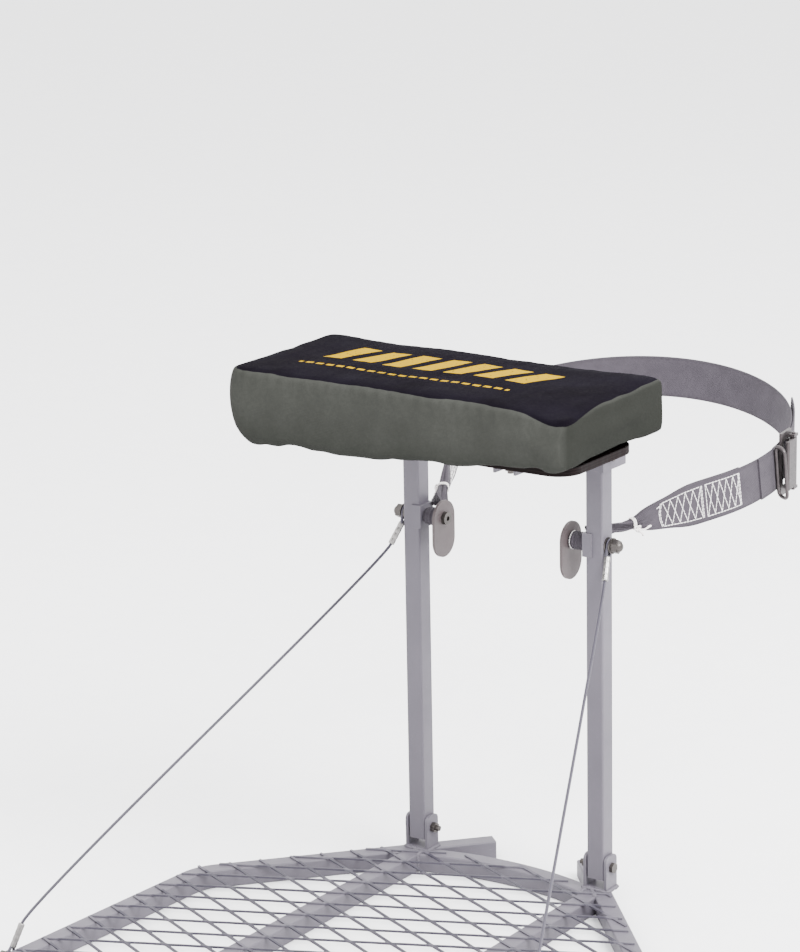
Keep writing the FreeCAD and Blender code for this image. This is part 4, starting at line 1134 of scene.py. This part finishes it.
def applied(made):
    """Gives a piece the mesh that its modifiers make, and clears them."""
    seen = made.evaluated_get(bpy.context.evaluated_depsgraph_get())
    mesh = bpy.data.meshes.new_from_object(seen)
    made.modifiers.clear()
    made.data = mesh
    return mesh


def remesh(made, voxel):
    set_all(made.modifiers.new("even", "REMESH"), mode="VOXEL", voxel_size=voxel, use_smooth_shade=True)
    applied(made)


def swell(made, furthest):
    """Cloth under pressure for 20 frames, with every point's motion capped."""
    before = [vertex.co.copy() for vertex in made.data.vertices]
    settings = set_all(made.modifiers.new("swell", "CLOTH").settings, quality=6, mass=0.25,
                       use_pressure=True, uniform_pressure_force=4.0, tension_stiffness=18,
                       compression_stiffness=12, bending_stiffness=0.8)
    settings.effector_weights.gravity = 0
    for number in range(1, 21):
        scene.frame_set(number)
    seen = made.evaluated_get(bpy.context.evaluated_depsgraph_get())
    after = [vertex.co.copy() for vertex in seen.data.vertices]
    made.modifiers.clear()
    for vertex, old, new in zip(made.data.vertices, before, after):
        moved = new - old
        if moved.length > furthest:
            moved *= furthest / moved.length
        vertex.co = old + moved
    scene.frame_set(1)


def seam_height(x, y):
    """The seam between top and side wanders below the top edge and dips at the right front corner."""
    wave = 1.6 * lumps(x * 14, y * 14, 3.1) + lumps(x * 45, y * 45, 8.4)
    dip = 0.006 * exp(-((x - 0.195) ** 2 + (y + 0.268) ** 2) / 0.03 ** 2)
    return SEAT_TOP - 0.0070 + 0.8 * wave * MM - dip


def eased_step(value, low, high):
    share = min(1.0, max(0.0, (value - low) / (high - low)))
    return share * share * (3 - 2 * share)


def settled(place):
    """The worn seat: a low front corner, a rounder left end and a rim hanging past the board."""
    p = place.copy()
    height = min(1.0, max(0.0, (p.z - SEAT_BASE) / (SEAT_TOP - SEAT_BASE)))
    # The left end bulges, and tucks in at its foot.
    left_end = eased_step(-p.x, 0.165, 0.207)
    p.x += left_end * (0.014 * (1 - height) ** 4 - 0.007 * (1 - height ** 4))
    # Its front corner is rounded.
    across, deep = (max(0.0, 1 - away / LEFT_CORNER)
                    for away in (place.x + SEAT_HALF_X, place.y - SEAT_FRONT))
    p.x += LEFT_CORNER * across * (1 - sqrt(max(0.0, 1 - min(1.0, deep) ** 2 / 2)))
    p.y += LEFT_CORNER * deep * (1 - sqrt(max(0.0, 1 - min(1.0, across) ** 2 / 2)))
    # The right front corner sags.
    corner = exp(-((p.x - 0.185) ** 2 + (p.y + 0.262) ** 2) / 0.034 ** 2)
    p.z -= 0.0065 * corner * height
    # The rim hangs past the board, most on the left.
    past = max(abs(p.x) - BOARD_HALF_X, BOARD_FRONT - p.y, p.y - BOARD_BACK)
    wave = lumps(p.x * 16, p.y * 16, 2.7) + 0.5 * lumps(p.x * 55, p.y * 55, 6)
    hang = eased_step(past, 0.002, 0.009) * (1 - 0.45 * left_end) * max(0.0, 1 - height * 1.5)
    hang *= 1 - 0.7 * eased_step(p.y, -0.262, -0.225)
    p.z -= (0.0195 - 0.055 * p.x - 0.18 * p.x ** 2 + 0.0028 * wave) * hang
    return p


def fit_seat(mesh):
    """Flattens the swollen form's crown and stretches it to the seat's width, depth and height."""
    low = [min(v.co[axis] for v in mesh.vertices) for axis in range(3)]
    high = [max(v.co[axis] for v in mesh.vertices) for axis in range(3)]
    want_low = (-SEAT_HALF_X, SEAT_FRONT, SEAT_BASE)
    want_high = (SEAT_HALF_X, SEAT_BACK, SEAT_TOP + 0.003)
    edge = SEAT_TOP - 0.0065
    flatter = 0.35
    high[2] = edge + (high[2] - edge) * flatter
    for vertex in mesh.vertices:
        vertex.co.z = min(vertex.co.z, edge) + max(0.0, vertex.co.z - edge) * flatter
        parts = [(vertex.co[k] - low[k]) / (high[k] - low[k]) for k in range(3)]
        vertex.co = [want_low[k] + parts[k] * (want_high[k] - want_low[k]) for k in range(3)]


def make_cushion():
    made = cushion_start()
    remesh(made, VOXEL)
    made.name = "seat_cushion"
    panel = made.data.attributes.new("panel", "FLOAT", "POINT")
    panel.data.foreach_set("value", [v.co.z - seam_height(v.co.x, v.co.y) for v in made.data.vertices])
    swell(made, 0.005)
    smooth = made.modifiers.new("finer", "SUBSURF")
    smooth.levels = smooth.render_levels = 1
    mesh = applied(made)
    fit_seat(mesh)
    mesh.update()
    values = mesh.attributes["panel"].data
    normals = [vertex.normal.copy() for vertex in mesh.vertices]
    for number, vertex in enumerate(mesh.vertices):
        p = vertex.co.copy()
        seam = values[number].value
        groove = 0.0011 * exp(-(seam / 0.0016) ** 2)
        big = lumps(p.x * 9, p.y * 11, p.z * 12)
        small = lumps(p.x * 30, p.y * 30, p.z * 30 + 5)
        gather = 0.0005 * sin(p.x * 420 + 3 * big) * exp(-((seam + 0.006) / 0.006) ** 2)
        p += normals[number] * (0.0019 * big + 0.0009 * small - groove + gather)
        p.z = max(p.z, SEAT_BASE + 0.0002)
        vertex.co = settled(p)
    mesh.shade_smooth()
    finish_piece(made, "seat", cloth, "cushion")


# ---------- floor, light and camera ----------

def make_floor():
    paint = Paint("pale_floor", 0.9)
    white = paint.done(paint.mix(paint.noise(paint.place(), 30, 2), (0.86, 0.86, 0.87), (0.90, 0.90, 0.91)))
    mesh = bpy.data.meshes.new("floor")
    half, level = 20, cad_low[2] - 0.0001
    corners = [(x * half, y * half, level) for x, y in ((-1, -1), (1, -1), (1, 1), (-1, 1))]
    mesh.from_pydata(corners, [], [(0, 1, 2, 3)])
    mesh.materials.append(white)
    floor = linked("floor", mesh)


def way_out(azimuth, elevation):
    """The way from the object to a viewpoint, from its compass angle and height in degrees."""
    turn, lift = radians(azimuth), radians(elevation)
    return Vector((sin(turn) * cos(lift), -cos(turn) * cos(lift), sin(lift)))


def area_light(name, azimuth, elevation, away, across, power):
    """A soft panel that faces the object."""
    data = set_all(bpy.data.lights.new(name, "AREA"), size=across, energy=power)
    back = way_out(azimuth, elevation)
    light = linked(name, data)
    light.location = Vector((0, -0.1, 0.25)) + back * away
    light.rotation_euler = back.to_track_quat("Z", "Y").to_euler()


def make_lights():
    area_light("key_light", 78, 46, 3.2, 1.6, 300)
    area_light("front_fill", 5, 35, 4.5, 3.0, 90)
    area_light("left_fill", -50, 40, 4.0, 2.4, 50)
    area_light("back_light", 190, 55, 4.0, 2.6, 90)
    world = bpy.data.worlds.new("studio")
    scene.world = world
    world.use_nodes = True
    background = world.node_tree.nodes["Background"]
    background.inputs["Color"].default_value = (1, 1, 1, 1)
    background.inputs["Strength"].default_value = 3.3


def make_camera():
    back, roll = way_out(34.83, 14.88), radians(-1.056)
    level = UP.cross(back).normalized()
    upright = back.cross(level)
    across = level * cos(roll) + upright * sin(roll)
    upward = upright * cos(roll) - level * sin(roll)
    camera = linked("camera", set_all(bpy.data.cameras.new("camera"), lens=128.27, clip_end=200))
    turn = Matrix((across, upward, back)).transposed().to_4x4()
    camera.matrix_world = Matrix.Translation((1.8345, -2.8928, 1.3248)) @ turn
    scene.camera = camera


make_floor()
make_lights()
make_camera()
make_cables()
make_straps()
make_buckle_ring()
make_stitches()
make_ties()
make_deck_mesh()
make_welds()
make_cushion()
